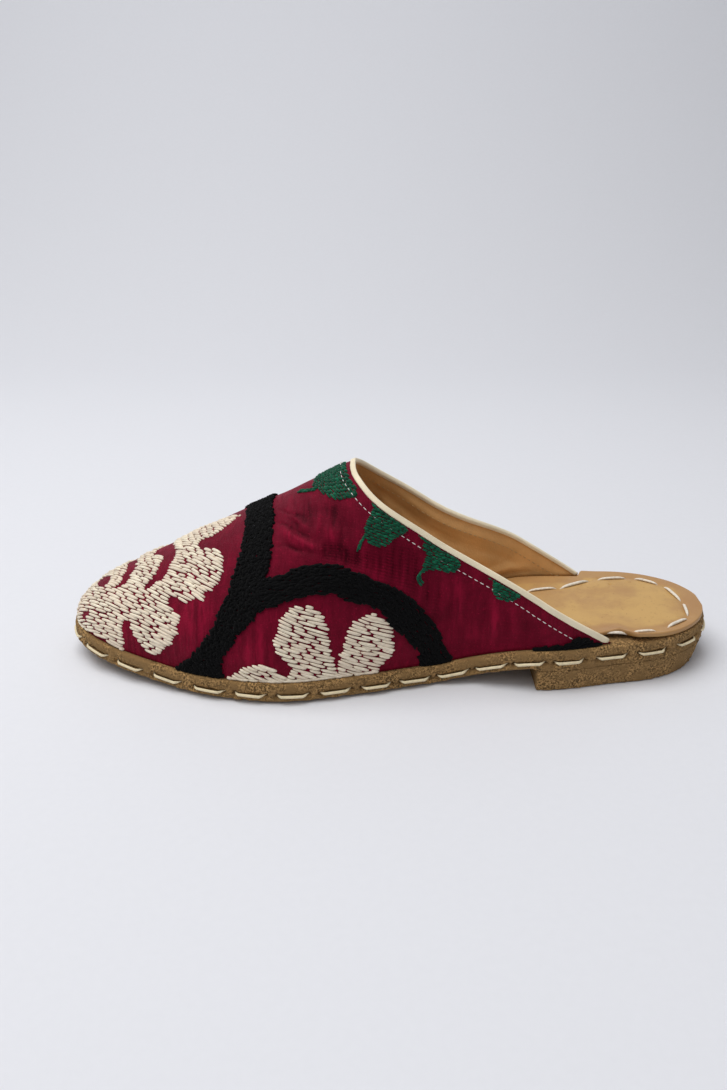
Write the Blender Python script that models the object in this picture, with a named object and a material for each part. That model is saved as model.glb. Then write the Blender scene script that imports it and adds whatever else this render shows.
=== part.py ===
"""Left-foot mule: stitched leather sole, closed-toe fabric upper, no back.

The toe points to -X and the heel to +X, the outer side of the foot is -Y and the
instep side is +Y.  All sizes are metres.
"""
import math

import bmesh
import bpy
import numpy as np

# Driving dimensions.
SOLE_LENGTH = 0.268
BALL_WIDTH = 0.0932
INSTEP_HEIGHT = 0.0842
TOE_SPRING = 0.0068
HEEL_LIFT_HEIGHT = 0.0091
HEEL_SEAT_RISE = 0.0010
OUTSOLE_THICKNESS = 0.0034
MIDSOLE_THICKNESS = 0.0047
INSOLE_THICKNESS = 0.0020
UPPER_WALL = 0.0016
UPPER_INSET = 0.0025
UPPER_TIP_INSET = 0.0013
JOIN_GAP = 0.0003

# Places along the sole, as shares of its length from the toe.
FLAT_FRONT = 0.29
FLAT_BACK = 0.56
HEEL_BREAST = 0.718
THROAT = 0.447
TOPLINE_END = 0.828

# The arch climbs along an eased step, mixed with a little of a plain power curve.
ARCH_EASE = 0.8
ARCH_POWER = 1.4

# Rounding lengths of the toe and heel ends.
TOE_ROUND = 0.056
TOE_EXPONENT = 2.0
HEEL_ROUND = 0.037
TOE_CAP_ROUND = 0.020
TOE_CAP_EXPONENT = 2.1
HEEL_EXPONENT = 2.1

# Heel lift taper towards the floor.
LIFT_SIDE_TAPER = 0.0008
LIFT_BACK_TAPER = 0.0032
LIFT_EDGE = 0.0005

# Insole edge, measured in from the sole's edge.
INSOLE_FRONT_INSET = 0.0050
INSOLE_QUARTER_INSET = 0.0066
INSOLE_HEEL_INSET = 0.0009
QUARTER_FROM = 0.62
QUARTER_SHARE = 0.10
INSOLE_STEP_FROM = 0.842
INSOLE_STEP_TO = 0.872
INSOLE_STEP_MARGIN = 0.004

# Folded strip that covers the topline.
BINDING_WIDTH = 0.0028
BINDING_THICKNESS = 0.0006
BINDING_CORNER = 0.6
BINDING_END = 0.984

# One row per cross-section of the last: share of the length from the toe, half
# width and sideways shift as shares of the ball width, ridge height as a share of
# the instep height, the exponent of the section's rounded arch, and the lean of
# the ridge towards the instep side as a share of the ball width.
SECTIONS = (
    # share, half_width, shift, ridge, exponent, lean
    (0.00, 0.378, 0.038, 0.150, 2.20, 0.000),
    (0.06, 0.384, 0.044, 0.229, 2.20, 0.006),
    (0.14, 0.414, 0.046, 0.364, 2.20, 0.016),
    (0.24, 0.487, 0.032, 0.543, 2.10, 0.024),
    (0.34, 0.501, 0.002, 0.706, 2.00, 0.026),
    (0.46, 0.420, -0.014, 0.906, 1.94, 0.022),
    (0.60, 0.322, -0.016, 0.975, 1.98, 0.014),
    (0.73, 0.390, -0.010, 0.920, 2.06, 0.006),
    (0.86, 0.352, 0.018, 0.850, 2.14, 0.000),
    (1.00, 0.324, 0.032, 0.835, 2.14, 0.000),
)

# The topline runs back from the throat: share of the way round each half section
# from ridge to sole, and share of the way from the throat to the topline's end.
TOPLINE = (
    # around, back
    (0.0, 0.000),
    (0.2, 0.018),
    (0.4, 0.118),
    (0.6, 0.350),
    (0.8, 0.640),
    (1.0, 1.000),
)

# Edge profiles of the layered sole: inset from the outline and height above the
# underside of the layer, as shares of the layer's thickness.
OUTSOLE_EDGE = (
    # inset, height
    (0.26, 0.00),
    (0.08, 0.10),
    (0.00, 0.30),
    (0.00, 0.74),
    (0.14, 1.00),
)
MIDSOLE_EDGE = (
    # inset, height
    (0.22, 0.00),
    (0.06, 0.13),
    (0.00, 0.36),
    (0.02, 0.72),
    (0.09, 0.92),
    (0.24, 1.00),
)
INSOLE_EDGE = (
    # inset, height
    (0.22, 0.00),
    (0.00, 0.22),
    (0.00, 0.74),
    (0.26, 1.00),
)

LIFT_EDGE_PROFILE = (
    # share of the taper, share of the height, share of the edge rounding
    (1.00, 0.00, 1.0),
    (1.00, 0.06, 0.0),
    (0.52, 0.50, 0.0),
    (0.16, 0.94, 0.0),
    (0.10, 1.00, 1.0),
)

# Mesh steps: stations along the sole, the lift, the insole's step, the upper's sections
# and its length, and the radius of the bend that spreads the stations over the toe.
OUTLINE_STEPS = 60
LIFT_STEPS = 26
INSOLE_STEP_STATIONS = 9
ROUND_STEPS = 44
ALONG_STEPS = 32
TOE_BEND = 0.030
SLOPE_STEP = 0.002
ROUND_LIMIT = 0.995
SOLE_SHARP = 40
UPPER_SHARP = 50

# Colour (linear red, green and blue) and roughness of each material.
OUTSOLE_SUEDE = ((0.215, 0.145, 0.075), 0.90)
MIDSOLE_SUEDE = ((0.245, 0.165, 0.088), 0.92)
TAN_LEATHER = ((0.62, 0.40, 0.18), 0.55)
WINE_CLOTH = ((0.20, 0.012, 0.045), 0.85)
CREAM_LEATHER = ((0.76, 0.66, 0.48), 0.60)

# Height of the layers over the underside of the outsole.
MIDSOLE_FLOOR = OUTSOLE_THICKNESS + JOIN_GAP
FEATHER = MIDSOLE_FLOOR + MIDSOLE_THICKNESS + JOIN_GAP


def clear_scene():
    for thing in list(bpy.data.objects):
        bpy.data.objects.remove(thing, do_unlink=True)


def curve_through(at, stations, values):
    """Smooth curve through the table's rows (cubic pieces, matched slopes)."""
    at = np.asarray(at, float)
    stations = np.asarray(stations, float)
    values = np.asarray(values, float)
    step = np.diff(stations)
    rate = np.diff(values) / step
    slope = np.empty_like(values)
    slope[1:-1] = (rate[:-1] * step[1:] + rate[1:] * step[:-1]) / (step[1:] + step[:-1])
    slope[0] = 1.5 * rate[0] - 0.5 * slope[1]
    slope[-1] = 1.5 * rate[-1] - 0.5 * slope[-2]
    index = np.clip(np.searchsorted(stations, at, side="right") - 1, 0, len(step) - 1)
    width = step[index]
    t = (at - stations[index]) / width
    h00 = 2 * t**3 - 3 * t**2 + 1
    h10 = t**3 - 2 * t**2 + t
    h01 = -2 * t**3 + 3 * t**2
    h11 = t**3 - t**2
    return (
        h00 * values[index]
        + h10 * width * slope[index]
        + h01 * values[index + 1]
        + h11 * width * slope[index + 1]
    )


def column(table, number):
    return [row[number] for row in table]


def section_value(share, number):
    return curve_through(share, column(SECTIONS, 0), column(SECTIONS, number))


def rounded_end(distance, length, exponent):
    """0 at the end itself, rising along a rounded arc to 1 at the given length."""
    t = np.clip(1 - np.asarray(distance, float) / length, 0, 1)
    return (1 - t**exponent) ** (1 / exponent)


def smooth_step(t):
    t = np.clip(t, 0, 1)
    return t * t * (3 - 2 * t)


def half_width(share):
    ends = rounded_end(share * SOLE_LENGTH, TOE_ROUND, TOE_EXPONENT)
    ends = ends * rounded_end((1 - share) * SOLE_LENGTH, HEEL_ROUND, HEEL_EXPONENT)
    return section_value(share, 1) * BALL_WIDTH * ends


def side_centre():
    """Half way between the sole's outermost points on its two sides."""
    share = np.linspace(0, 1, 2001)
    shift = section_value(share, 2) * BALL_WIDTH
    width = half_width(share)
    return 0.5 * (np.max(shift + width) + np.min(shift - width))


def middle(share):
    return section_value(share, 2) * BALL_WIDTH - side_centre()


def rise(share):
    """Height of the outsole's underside: toe spring, flat forefoot, arch and heel."""
    share = np.asarray(share, float)
    toe = np.clip((FLAT_FRONT - share) / FLAT_FRONT, 0, 1)
    arch = np.clip((share - FLAT_BACK) / (HEEL_BREAST - FLAT_BACK), 0, 1)
    seat = np.clip((share - HEEL_BREAST) / (1 - HEEL_BREAST), 0, 1)
    climb = ARCH_EASE * smooth_step(arch) + (1 - ARCH_EASE) * arch**ARCH_POWER
    return TOE_SPRING * toe**2 + HEEL_LIFT_HEIGHT * climb + HEEL_SEAT_RISE * seat


def share_of(x):
    return np.clip(np.asarray(x, float) / SOLE_LENGTH + 0.5, 0, 1)


def along(share):
    return (np.asarray(share, float) - 0.5) * SOLE_LENGTH


def eased_shares(start, end, steps, ease_start, ease_end):
    """Shares from start to end, closer at the rounded ends, with each bend kept."""
    t = np.linspace(0, 1, steps + 1)
    if ease_start and ease_end:
        t = 0.5 - 0.5 * np.cos(np.pi * t)
    elif ease_end:
        t = np.sin(0.5 * np.pi * t)
    shares = start + (end - start) * t
    for bend in (FLAT_FRONT, FLAT_BACK, HEEL_BREAST):
        if start < bend < end:
            shares[np.argmin(np.abs(shares - bend))] = bend
    return shares


def outline(shares, width):
    """The outer side from toe to heel, and the inner side from toe to heel."""
    near = np.stack([along(shares), middle(shares) - width], axis=1)
    far = np.stack([along(shares), middle(shares) + width], axis=1)
    return near, far


def outward(points, closed):
    """Unit normals pointing out of a counter-clockwise outline."""
    if closed:
        ahead = np.roll(points, -1, axis=0)
        behind = np.roll(points, 1, axis=0)
    else:
        ahead = np.vstack([points[1:], points[-1:]])
        behind = np.vstack([points[:1], points[:-1]])
    tangent = ahead - behind
    tangent = tangent / np.linalg.norm(tangent, axis=1, keepdims=True)
    return np.stack([tangent[:, 1], -tangent[:, 0]], axis=1)


def loft(rings, closed_ends):
    """Quads between equal rings of vertex numbers."""
    faces = []
    count = len(rings[0])
    last = count if closed_ends else count - 1
    for lower, upper in zip(rings[:-1], rings[1:]):
        for i in range(last):
            j = (i + 1) % count
            faces.append((lower[i], lower[j], upper[j], upper[i]))
    return faces


def cross_strips(ring, near_count, shared_start):
    """Faces across a ring made of a near side followed by the far side reversed."""
    near = ring[:near_count]
    far = list(reversed(ring[near_count:])) + [ring[near_count - 1]]
    if shared_start:
        far = [ring[0]] + far
    faces = []
    for i in range(near_count - 1):
        corners = [near[i], near[i + 1], far[i + 1], far[i]]
        unique = []
        for corner in corners:
            if corner not in unique:
                unique.append(corner)
        if len(unique) >= 3:
            faces.append(tuple(unique))
    return faces


def build_mesh(name, verts, faces, finish, sharp_degrees, about):
    colour, roughness = finish
    mesh = bpy.data.meshes.new(name)
    mesh.from_pydata([tuple(v) for v in verts], [], faces)
    mesh.validate()
    shell = bmesh.new()
    shell.from_mesh(mesh)
    bmesh.ops.recalc_face_normals(shell, faces=shell.faces)
    bmesh.ops.triangulate(shell, faces=shell.faces)
    shell.to_mesh(mesh)
    shell.free()
    mesh.shade_smooth()
    mesh.set_sharp_from_angle(angle=math.radians(sharp_degrees))
    paint = bpy.data.materials.new(name + "_material")
    paint.use_nodes = True
    surface = paint.node_tree.nodes["Principled BSDF"]
    surface.inputs["Base Color"].default_value = (*colour, 1)
    surface.inputs["Roughness"].default_value = roughness
    surface.inputs["Metallic"].default_value = 0
    mesh.materials.append(paint)
    thing = bpy.data.objects.new(name, mesh)
    thing["about"] = about
    bpy.context.scene.collection.objects.link(thing)
    return thing


def add_sheet(name, shares, width, edge, floor, thickness, finish, about):
    """A layer of the sole: the outline, its edge profile and two curved faces."""
    near, far = outline(shares, width)
    loop = np.vstack([near, far[-2:0:-1]])
    normal = outward(loop, True)
    rings = []
    verts = []
    for inset, height in edge:
        ring = loop - normal * inset * thickness
        level = rise(share_of(ring[:, 0])) + floor + height * thickness
        start = len(verts)
        verts.extend(np.column_stack([ring, level]))
        rings.append(list(range(start, len(verts))))
    faces = loft(rings, True)
    faces += cross_strips(rings[0], len(near), True)
    faces += cross_strips(rings[-1], len(near), True)
    return build_mesh(name, verts, faces, finish, SOLE_SHARP, about)


def add_layer(name, edge, floor, thickness, finish, about):
    shares = eased_shares(0.0, 1.0, OUTLINE_STEPS, True, True)
    return add_sheet(name, shares, half_width(shares), edge, floor, thickness, finish, about)


def insole_half_width(share, start, end):
    """Inside the upper at the front, stepping out to the sole's edge behind it."""
    quarter = smooth_step((share - QUARTER_FROM) / QUARTER_SHARE)
    heel = smooth_step((share - INSOLE_STEP_FROM) / (INSOLE_STEP_TO - INSOLE_STEP_FROM))
    inset = INSOLE_FRONT_INSET + (INSOLE_QUARTER_INSET - INSOLE_FRONT_INSET) * quarter
    inset = inset + (INSOLE_HEEL_INSET - inset) * heel
    front = (share - start) * SOLE_LENGTH
    back = (end - share) * SOLE_LENGTH
    toe = rounded_end(front, TOE_ROUND - INSOLE_FRONT_INSET, TOE_EXPONENT)
    tail = rounded_end(back, HEEL_ROUND - INSOLE_HEEL_INSET, HEEL_EXPONENT)
    return (section_value(share, 1) * BALL_WIDTH - inset) * toe * tail


def add_insole(name, finish, about):
    start = INSOLE_FRONT_INSET / SOLE_LENGTH
    end = 1 - INSOLE_HEEL_INSET / SOLE_LENGTH
    shares = eased_shares(start, end, OUTLINE_STEPS, True, True)
    step_from = INSOLE_STEP_FROM - INSOLE_STEP_MARGIN
    step_to = INSOLE_STEP_TO + INSOLE_STEP_MARGIN
    step = np.linspace(step_from, step_to, INSOLE_STEP_STATIONS)
    shares = np.unique(np.concatenate([shares, step]))
    width = insole_half_width(shares, start, end)
    return add_sheet(name, shares, width, INSOLE_EDGE, FEATHER, INSOLE_THICKNESS, finish, about)


def add_heel_lift(name, finish, about):
    """A block under the seat: flat front, rounded back, drawn in towards the floor."""
    shares = eased_shares(HEEL_BREAST, 1.0, LIFT_STEPS, False, True)
    near, far = outline(shares, half_width(shares))
    loop = np.vstack([near, far[-2::-1]])
    normal = outward(loop, False)
    normal[0] = (0, -1)
    normal[-1] = (0, 1)
    back = np.clip(normal[:, :1], 0, 1) ** 2
    taper = LIFT_SIDE_TAPER + (LIFT_BACK_TAPER - LIFT_SIDE_TAPER) * back
    rings = []
    verts = []
    for share, height, edge in LIFT_EDGE_PROFILE:
        ring = loop - normal * (taper * share + edge * LIFT_EDGE)
        top = rise(share_of(ring[:, 0])) - JOIN_GAP
        first = len(verts)
        verts.extend(np.column_stack([ring, top * height]))
        rings.append(list(range(first, len(verts))))
    faces = loft(rings, False)
    for lower, upper in zip(rings[:-1], rings[1:]):
        faces.append((lower[-1], lower[0], upper[0], upper[-1]))
    faces += cross_strips(rings[0], len(near), False)
    faces += cross_strips(rings[-1], len(near), False)
    return build_mesh(name, verts, faces, finish, SOLE_SHARP, about)


def last_surface(share, around, depth):
    """Point of the last: around runs from -1 (outer sole edge) over 0 (ridge) to 1.

    y = middle + sign(a) W sin(a)^(2/n), z = feather + H cos(a)^(2/n), where a is
    around times a right angle and W, H and the toe shrink by the depth.  The ridge
    leans by a share of cos(a)^(2/n) towards the instep side.
    """
    share = np.asarray(share, float)
    around = np.asarray(around, float)
    tip = share * SOLE_LENGTH - UPPER_TIP_INSET - depth
    toe = rounded_end(tip, TOE_ROUND, TOE_EXPONENT)
    heel = rounded_end((1 - share) * SOLE_LENGTH, HEEL_ROUND, HEEL_EXPONENT)
    width = (section_value(share, 1) * BALL_WIDTH - UPPER_INSET - depth) * toe * heel
    height = section_value(share, 3) * INSTEP_HEIGHT - depth
    height = height * rounded_end(tip, TOE_CAP_ROUND, TOE_CAP_EXPONENT)
    power = 2 / section_value(share, 4)
    angle = np.clip(np.abs(around), 0, 1) * np.pi / 2
    arch = np.clip(np.cos(angle), 0, 1) ** power
    lean = section_value(share, 5) * BALL_WIDTH * toe
    y = middle(share) + lean * arch + np.sign(around) * width * np.sin(angle) ** power
    z = rise(share) + FEATHER + height * arch
    return np.stack(np.broadcast_arrays(along(share), y, z), axis=-1)


def topline_share(around):
    back = curve_through(np.abs(around), column(TOPLINE, 0), column(TOPLINE, 1))
    return THROAT + (TOPLINE_END - THROAT) * back


def meridian(u, around, depth):
    """Share at u (0 toe tip, 1 topline), stepped evenly over the rounded toe."""
    start = (UPPER_TIP_INSET + depth) / SOLE_LENGTH
    reach = topline_share(around) * SOLE_LENGTH - UPPER_TIP_INSET - depth
    travel = u * (TOE_BEND * (np.pi / 2 - 1) + reach)
    turn = np.clip(travel / TOE_BEND, 0, np.pi / 2)
    distance = TOE_BEND * (1 - np.cos(turn)) + travel - TOE_BEND * turn
    return start + distance / SOLE_LENGTH


def add_upper(name, finish, about):
    """One shell, closed over the toe, open at the back and underneath."""
    around = np.linspace(-1, 1, ROUND_STEPS + 1)
    u = np.linspace(0, 1, ALONG_STEPS + 1)
    verts = []
    grids = []
    for depth in (0.0, UPPER_WALL):
        share = meridian(u[1:, None], around[None, :], depth)
        grid = last_surface(share, around[None, :], depth)
        pole = last_surface((UPPER_TIP_INSET + depth) / SOLE_LENGTH, 0.0, depth)
        first = len(verts)
        verts.append(pole)
        verts.extend(grid.reshape(-1, 3))
        numbers = np.arange(grid.shape[0] * grid.shape[1]).reshape(grid.shape[:2]) + first + 1
        grids.append((first, numbers))
    faces = []
    for pole, numbers in grids:
        for j in range(ROUND_STEPS):
            faces.append((pole, numbers[0, j], numbers[0, j + 1]))
        for i in range(ALONG_STEPS - 1):
            for j in range(ROUND_STEPS):
                corners = (numbers[i, j], numbers[i, j + 1], numbers[i + 1, j + 1], numbers[i + 1, j])
                faces.append(corners)
    (outer_pole, outer), (inner_pole, inner) = grids
    for j in range(ROUND_STEPS):
        faces.append((outer[-1, j], outer[-1, j + 1], inner[-1, j + 1], inner[-1, j]))
    for j in (0, ROUND_STEPS):
        faces.append((outer_pole, outer[0, j], inner[0, j], inner_pole))
        for i in range(ALONG_STEPS - 1):
            faces.append((outer[i, j], outer[i + 1, j], inner[i + 1, j], inner[i, j]))
    faces = [tuple(int(corner) for corner in face) for face in faces]
    return build_mesh(name, verts, faces, finish, UPPER_SHARP, about)


def surface_step(around, across, depth):
    """Point a distance across the topline, measured along the upper's surface."""
    share = topline_share(around)
    step = SLOPE_STEP
    limit = np.clip(around, -ROUND_LIMIT, ROUND_LIMIT)
    by_share = (last_surface(share + step, limit, 0.0) - last_surface(share - step, limit, 0.0)) / (2 * step)
    by_round = (last_surface(share, limit + step, 0.0) - last_surface(share, limit - step, 0.0)) / (2 * step)
    ahead = last_surface(topline_share(limit + step), limit + step, 0.0)
    behind = last_surface(topline_share(limit - step), limit - step, 0.0)
    tangent = ahead - behind
    tangent = tangent / np.linalg.norm(tangent, axis=-1, keepdims=True)
    normal = np.cross(by_share, by_round)
    normal = normal / np.linalg.norm(normal, axis=-1, keepdims=True)
    inward = np.cross(tangent, normal)
    inward = inward * np.where(inward[..., :1] > 0, -1, 1)
    wanted = inward * across
    a11 = (by_share * by_share).sum(-1)
    a12 = (by_share * by_round).sum(-1)
    a22 = (by_round * by_round).sum(-1)
    b1 = (by_share * wanted).sum(-1)
    b2 = (by_round * wanted).sum(-1)
    det = a11 * a22 - a12 * a12
    new_share = share + (b1 * a22 - b2 * a12) / det
    new_around = limit + (a11 * b2 - a12 * b1) / det
    return last_surface(new_share, np.clip(new_around, -ROUND_LIMIT, ROUND_LIMIT), depth)


def add_binding(name, finish, about):
    """A strip folded over the topline, a join gap off the shell on every face."""
    around = np.clip(np.linspace(-1, 1, ROUND_STEPS + 1), -BINDING_END, BINDING_END)
    outside = -(JOIN_GAP + BINDING_THICKNESS)
    inside = UPPER_WALL + JOIN_GAP + BINDING_THICKNESS
    crest = -(JOIN_GAP + BINDING_THICKNESS)
    shoulder = -(JOIN_GAP + BINDING_CORNER * BINDING_THICKNESS)
    corners = (
        (BINDING_WIDTH, outside),
        (shoulder, outside),
        (crest, 0.0),
        (crest, UPPER_WALL),
        (shoulder, inside),
        (BINDING_WIDTH, inside),
        (BINDING_WIDTH, UPPER_WALL + JOIN_GAP),
        (-JOIN_GAP, UPPER_WALL + JOIN_GAP),
        (-JOIN_GAP, -JOIN_GAP),
        (BINDING_WIDTH, -JOIN_GAP),
    )
    verts = []
    columns = []
    for across, depth in corners:
        points = surface_step(around, across, depth)
        first = len(verts)
        verts.extend(points)
        columns.append(list(range(first, len(verts))))
    faces = []
    count = len(columns)
    for k in range(count):
        here = columns[k]
        there = columns[(k + 1) % count]
        for i in range(ROUND_STEPS):
            faces.append((here[i], here[i + 1], there[i + 1], there[i]))
    for i in (0, ROUND_STEPS):
        c = [col[i] for col in columns]
        faces.append((c[0], c[1], c[8], c[9]))
        faces.append((c[1], c[2], c[8]))
        faces.append((c[2], c[3], c[7], c[8]))
        faces.append((c[3], c[4], c[7]))
        faces.append((c[4], c[5], c[6], c[7]))
    return build_mesh(name, verts, faces, finish, UPPER_SHARP, about)


def main():
    clear_scene()
    add_layer(
        "outsole", OUTSOLE_EDGE, 0.0, OUTSOLE_THICKNESS,
        OUTSOLE_SUEDE, "walking layer with toe spring, arch and seat",
    )
    add_layer(
        "midsole", MIDSOLE_EDGE, MIDSOLE_FLOOR, MIDSOLE_THICKNESS,
        MIDSOLE_SUEDE, "suede-edged layer that carries the upper",
    )
    add_heel_lift("heel_lift", OUTSOLE_SUEDE, "low block under the seat")
    add_insole("insole", TAN_LEATHER, "tan leather sheet under the foot")
    add_upper("upper", WINE_CLOTH, "closed-toe shell of lined fabric")
    add_binding("collar_binding", CREAM_LEATHER, "leather strip over the topline")


main()
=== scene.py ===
"""Looks of a left-foot slip-on mule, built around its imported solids.

Sizes are metres unless a name or a table says millimetres. The toe points to -X, the outer
side of the foot is -Y, the instep side is +Y, and the shoe stands on z = 0.
"""

import math

import bmesh
import bpy
import numpy as np
from mathutils import Matrix, Vector


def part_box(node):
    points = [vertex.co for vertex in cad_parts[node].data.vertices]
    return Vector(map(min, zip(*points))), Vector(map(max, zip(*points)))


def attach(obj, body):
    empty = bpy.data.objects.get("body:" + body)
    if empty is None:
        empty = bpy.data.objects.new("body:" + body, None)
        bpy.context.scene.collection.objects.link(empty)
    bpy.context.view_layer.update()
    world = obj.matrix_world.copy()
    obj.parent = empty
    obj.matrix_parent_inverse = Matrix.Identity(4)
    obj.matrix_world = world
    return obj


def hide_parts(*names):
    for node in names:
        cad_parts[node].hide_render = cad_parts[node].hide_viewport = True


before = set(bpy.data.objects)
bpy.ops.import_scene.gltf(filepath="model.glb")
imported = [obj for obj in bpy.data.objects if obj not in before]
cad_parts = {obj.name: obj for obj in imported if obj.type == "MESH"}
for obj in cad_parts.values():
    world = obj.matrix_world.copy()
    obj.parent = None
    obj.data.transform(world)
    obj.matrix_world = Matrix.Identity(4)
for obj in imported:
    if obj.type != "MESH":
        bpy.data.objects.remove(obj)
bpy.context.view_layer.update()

bl_info = {
    "name": "Embroidered mule",
    "version": (1, 0, 0),
    "blender": (4, 5, 0),
    "location": "3D View > Sidebar > Mule",
    "description": "Builds the cloth, embroidery, leather and stitching of a slip-on mule",
    "category": "Object",
}

MM = 0.001

# Sizes of the last and of the sole's layers.
SOLE_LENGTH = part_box("outsole")[1][0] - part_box("outsole")[0][0]
BALL_WIDTH = 0.0932
INSTEP_HEIGHT = 0.0842
TOE_SPRING = 0.0068
HEEL_LIFT_HEIGHT = 0.0091
HEEL_SEAT_RISE = 0.0010
OUTSOLE_THICKNESS = 0.0034
MIDSOLE_THICKNESS = 0.0047
INSOLE_THICKNESS = 0.0020
UPPER_WALL = 0.0016
UPPER_INSET = 0.0025
UPPER_TIP_INSET = 0.0013
JOIN_GAP = 0.0003
MIDSOLE_FLOOR = OUTSOLE_THICKNESS + JOIN_GAP
FEATHER = MIDSOLE_FLOOR + MIDSOLE_THICKNESS + JOIN_GAP

# Places along the sole, as shares of its length from the toe.
FLAT_FRONT = 0.29
FLAT_BACK = 0.56
HEEL_BREAST = 0.718
THROAT = 0.447
TOPLINE_END = 0.828
ARCH_EASE = 0.8
ARCH_POWER = 1.4

# Rounding lengths of the toe and heel ends, and the heel lift's taper.
TOE_ROUND = 0.056
TOE_EXPONENT = 2.0
HEEL_ROUND = 0.037
HEEL_EXPONENT = 2.1
TOE_CAP_ROUND = 0.020
TOE_CAP_EXPONENT = 2.1
LIFT_SIDE_TAPER = 0.0008
LIFT_BACK_TAPER = 0.0032

# Insole edge, measured in from the sole's edge.
INSOLE_FRONT_INSET = 0.0050
INSOLE_QUARTER_INSET = 0.0066
INSOLE_HEEL_INSET = 0.0009
QUARTER_FROM = 0.62
QUARTER_SHARE = 0.10
# Where the insole steps out to the sole's edge on the outer and on the inner side.
INSOLE_STEP = (0.842, 0.872)
INSOLE_FAR_STEP = (0.819, 0.832)

# Folded strip that covers the topline.
BINDING_THICKNESS = 0.0006
BINDING_END = 0.984

# Cross-sections of the last: share of the length, half width and sideways shift as shares
# of the ball width, ridge height as a share of the instep height, the exponent of the
# rounded arch, and the ridge's lean as a share of the ball width.
SECTIONS = (
    (0.00, 0.378, 0.038, 0.150, 2.20, 0.000),
    (0.06, 0.384, 0.044, 0.229, 2.20, 0.006),
    (0.14, 0.414, 0.046, 0.364, 2.20, 0.016),
    (0.24, 0.487, 0.032, 0.543, 2.10, 0.024),
    (0.34, 0.501, 0.002, 0.706, 2.00, 0.026),
    (0.46, 0.420, -0.014, 0.906, 1.94, 0.022),
    (0.60, 0.322, -0.016, 0.975, 1.98, 0.014),
    (0.73, 0.390, -0.010, 0.920, 2.06, 0.006),
    (0.86, 0.352, 0.018, 0.850, 2.14, 0.000),
    (1.00, 0.324, 0.032, 0.835, 2.14, 0.000),
)
# Topline: share of the way round from ridge to sole, share of the way back.
TOPLINE = ((0.0, 0.0), (0.2, 0.018), (0.4, 0.118), (0.6, 0.350), (0.8, 0.640), (1.0, 1.0))
# Edge profile of the midsole: inset and height as shares of the thickness.
MIDSOLE_EDGE = ((0.22, 0.00), (0.06, 0.13), (0.00, 0.36), (0.02, 0.72), (0.09, 0.92), (0.24, 1.00))


def linear(code):
    """Linear colour of an sRGB hex code."""
    parts = [int(code[i:i + 2], 16) / 255 for i in (0, 2, 4)]
    return tuple(p / 12.92 if p <= 0.04045 else ((p + 0.055) / 1.055) ** 2.4 for p in parts)


def unit(vectors):
    """Vectors of length one; a vector of no length stays as it is."""
    size = np.linalg.norm(vectors, axis=-1, keepdims=True)
    return vectors / np.where(size > 1e-12, size, 1)


def curve_through(at, stations, values):
    """Smooth curve through a table's rows, in cubic pieces with matched slopes."""
    at = np.asarray(at, float)
    stations = np.asarray(stations, float)
    values = np.asarray(values, float)
    step = np.diff(stations)
    rate = np.diff(values) / step
    slope = np.empty_like(values)
    slope[1:-1] = (rate[:-1] * step[1:] + rate[1:] * step[:-1]) / (step[1:] + step[:-1])
    slope[0] = 1.5 * rate[0] - 0.5 * slope[1]
    slope[-1] = 1.5 * rate[-1] - 0.5 * slope[-2]
    index = np.clip(np.searchsorted(stations, at, side="right") - 1, 0, len(step) - 1)
    width = step[index]
    t = (at - stations[index]) / width
    return (
        (2 * t**3 - 3 * t**2 + 1) * values[index]
        + (t**3 - 2 * t**2 + t) * width * slope[index]
        + (3 * t**2 - 2 * t**3) * values[index + 1]
        + (t**3 - t**2) * width * slope[index + 1]
    )


def column(table, number):
    return [row[number] for row in table]


def section_value(share, number):
    return curve_through(share, column(SECTIONS, 0), column(SECTIONS, number))


def rounded_end(distance, length, exponent):
    """0 at the end itself, rising along a rounded arc to 1 at the given length."""
    t = np.clip(1 - np.asarray(distance, float) / length, 0, 1)
    return (1 - t**exponent) ** (1 / exponent)


def smooth_step(t):
    t = np.clip(t, 0, 1)
    return t * t * (3 - 2 * t)


def half_width(share):
    """Half the sole's width: the table's width, rounded off at toe and heel."""
    ends = rounded_end(share * SOLE_LENGTH, TOE_ROUND, TOE_EXPONENT)
    ends = ends * rounded_end((1 - share) * SOLE_LENGTH, HEEL_ROUND, HEEL_EXPONENT)
    return section_value(share, 1) * BALL_WIDTH * ends


def side_centre():
    """Half way between the sole's outermost points on its two sides."""
    share = np.linspace(0, 1, 2001)
    shift = section_value(share, 2) * BALL_WIDTH
    width = half_width(share)
    return 0.5 * (np.max(shift + width) + np.min(shift - width))


SIDE_CENTRE = side_centre()


def middle(share):
    return section_value(share, 2) * BALL_WIDTH - SIDE_CENTRE


def rise(share):
    """Height of the outsole's underside: toe spring, flat forefoot, arch and heel."""
    share = np.asarray(share, float)
    toe = np.clip((FLAT_FRONT - share) / FLAT_FRONT, 0, 1)
    arch = np.clip((share - FLAT_BACK) / (HEEL_BREAST - FLAT_BACK), 0, 1)
    seat = np.clip((share - HEEL_BREAST) / (1 - HEEL_BREAST), 0, 1)
    climb = ARCH_EASE * smooth_step(arch) + (1 - ARCH_EASE) * arch**ARCH_POWER
    return TOE_SPRING * toe**2 + HEEL_LIFT_HEIGHT * climb + HEEL_SEAT_RISE * seat


def share_of(x):
    return np.clip(np.asarray(x, float) / SOLE_LENGTH + 0.5, 0, 1)


def along(share):
    return (np.asarray(share, float) - 0.5) * SOLE_LENGTH


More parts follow.
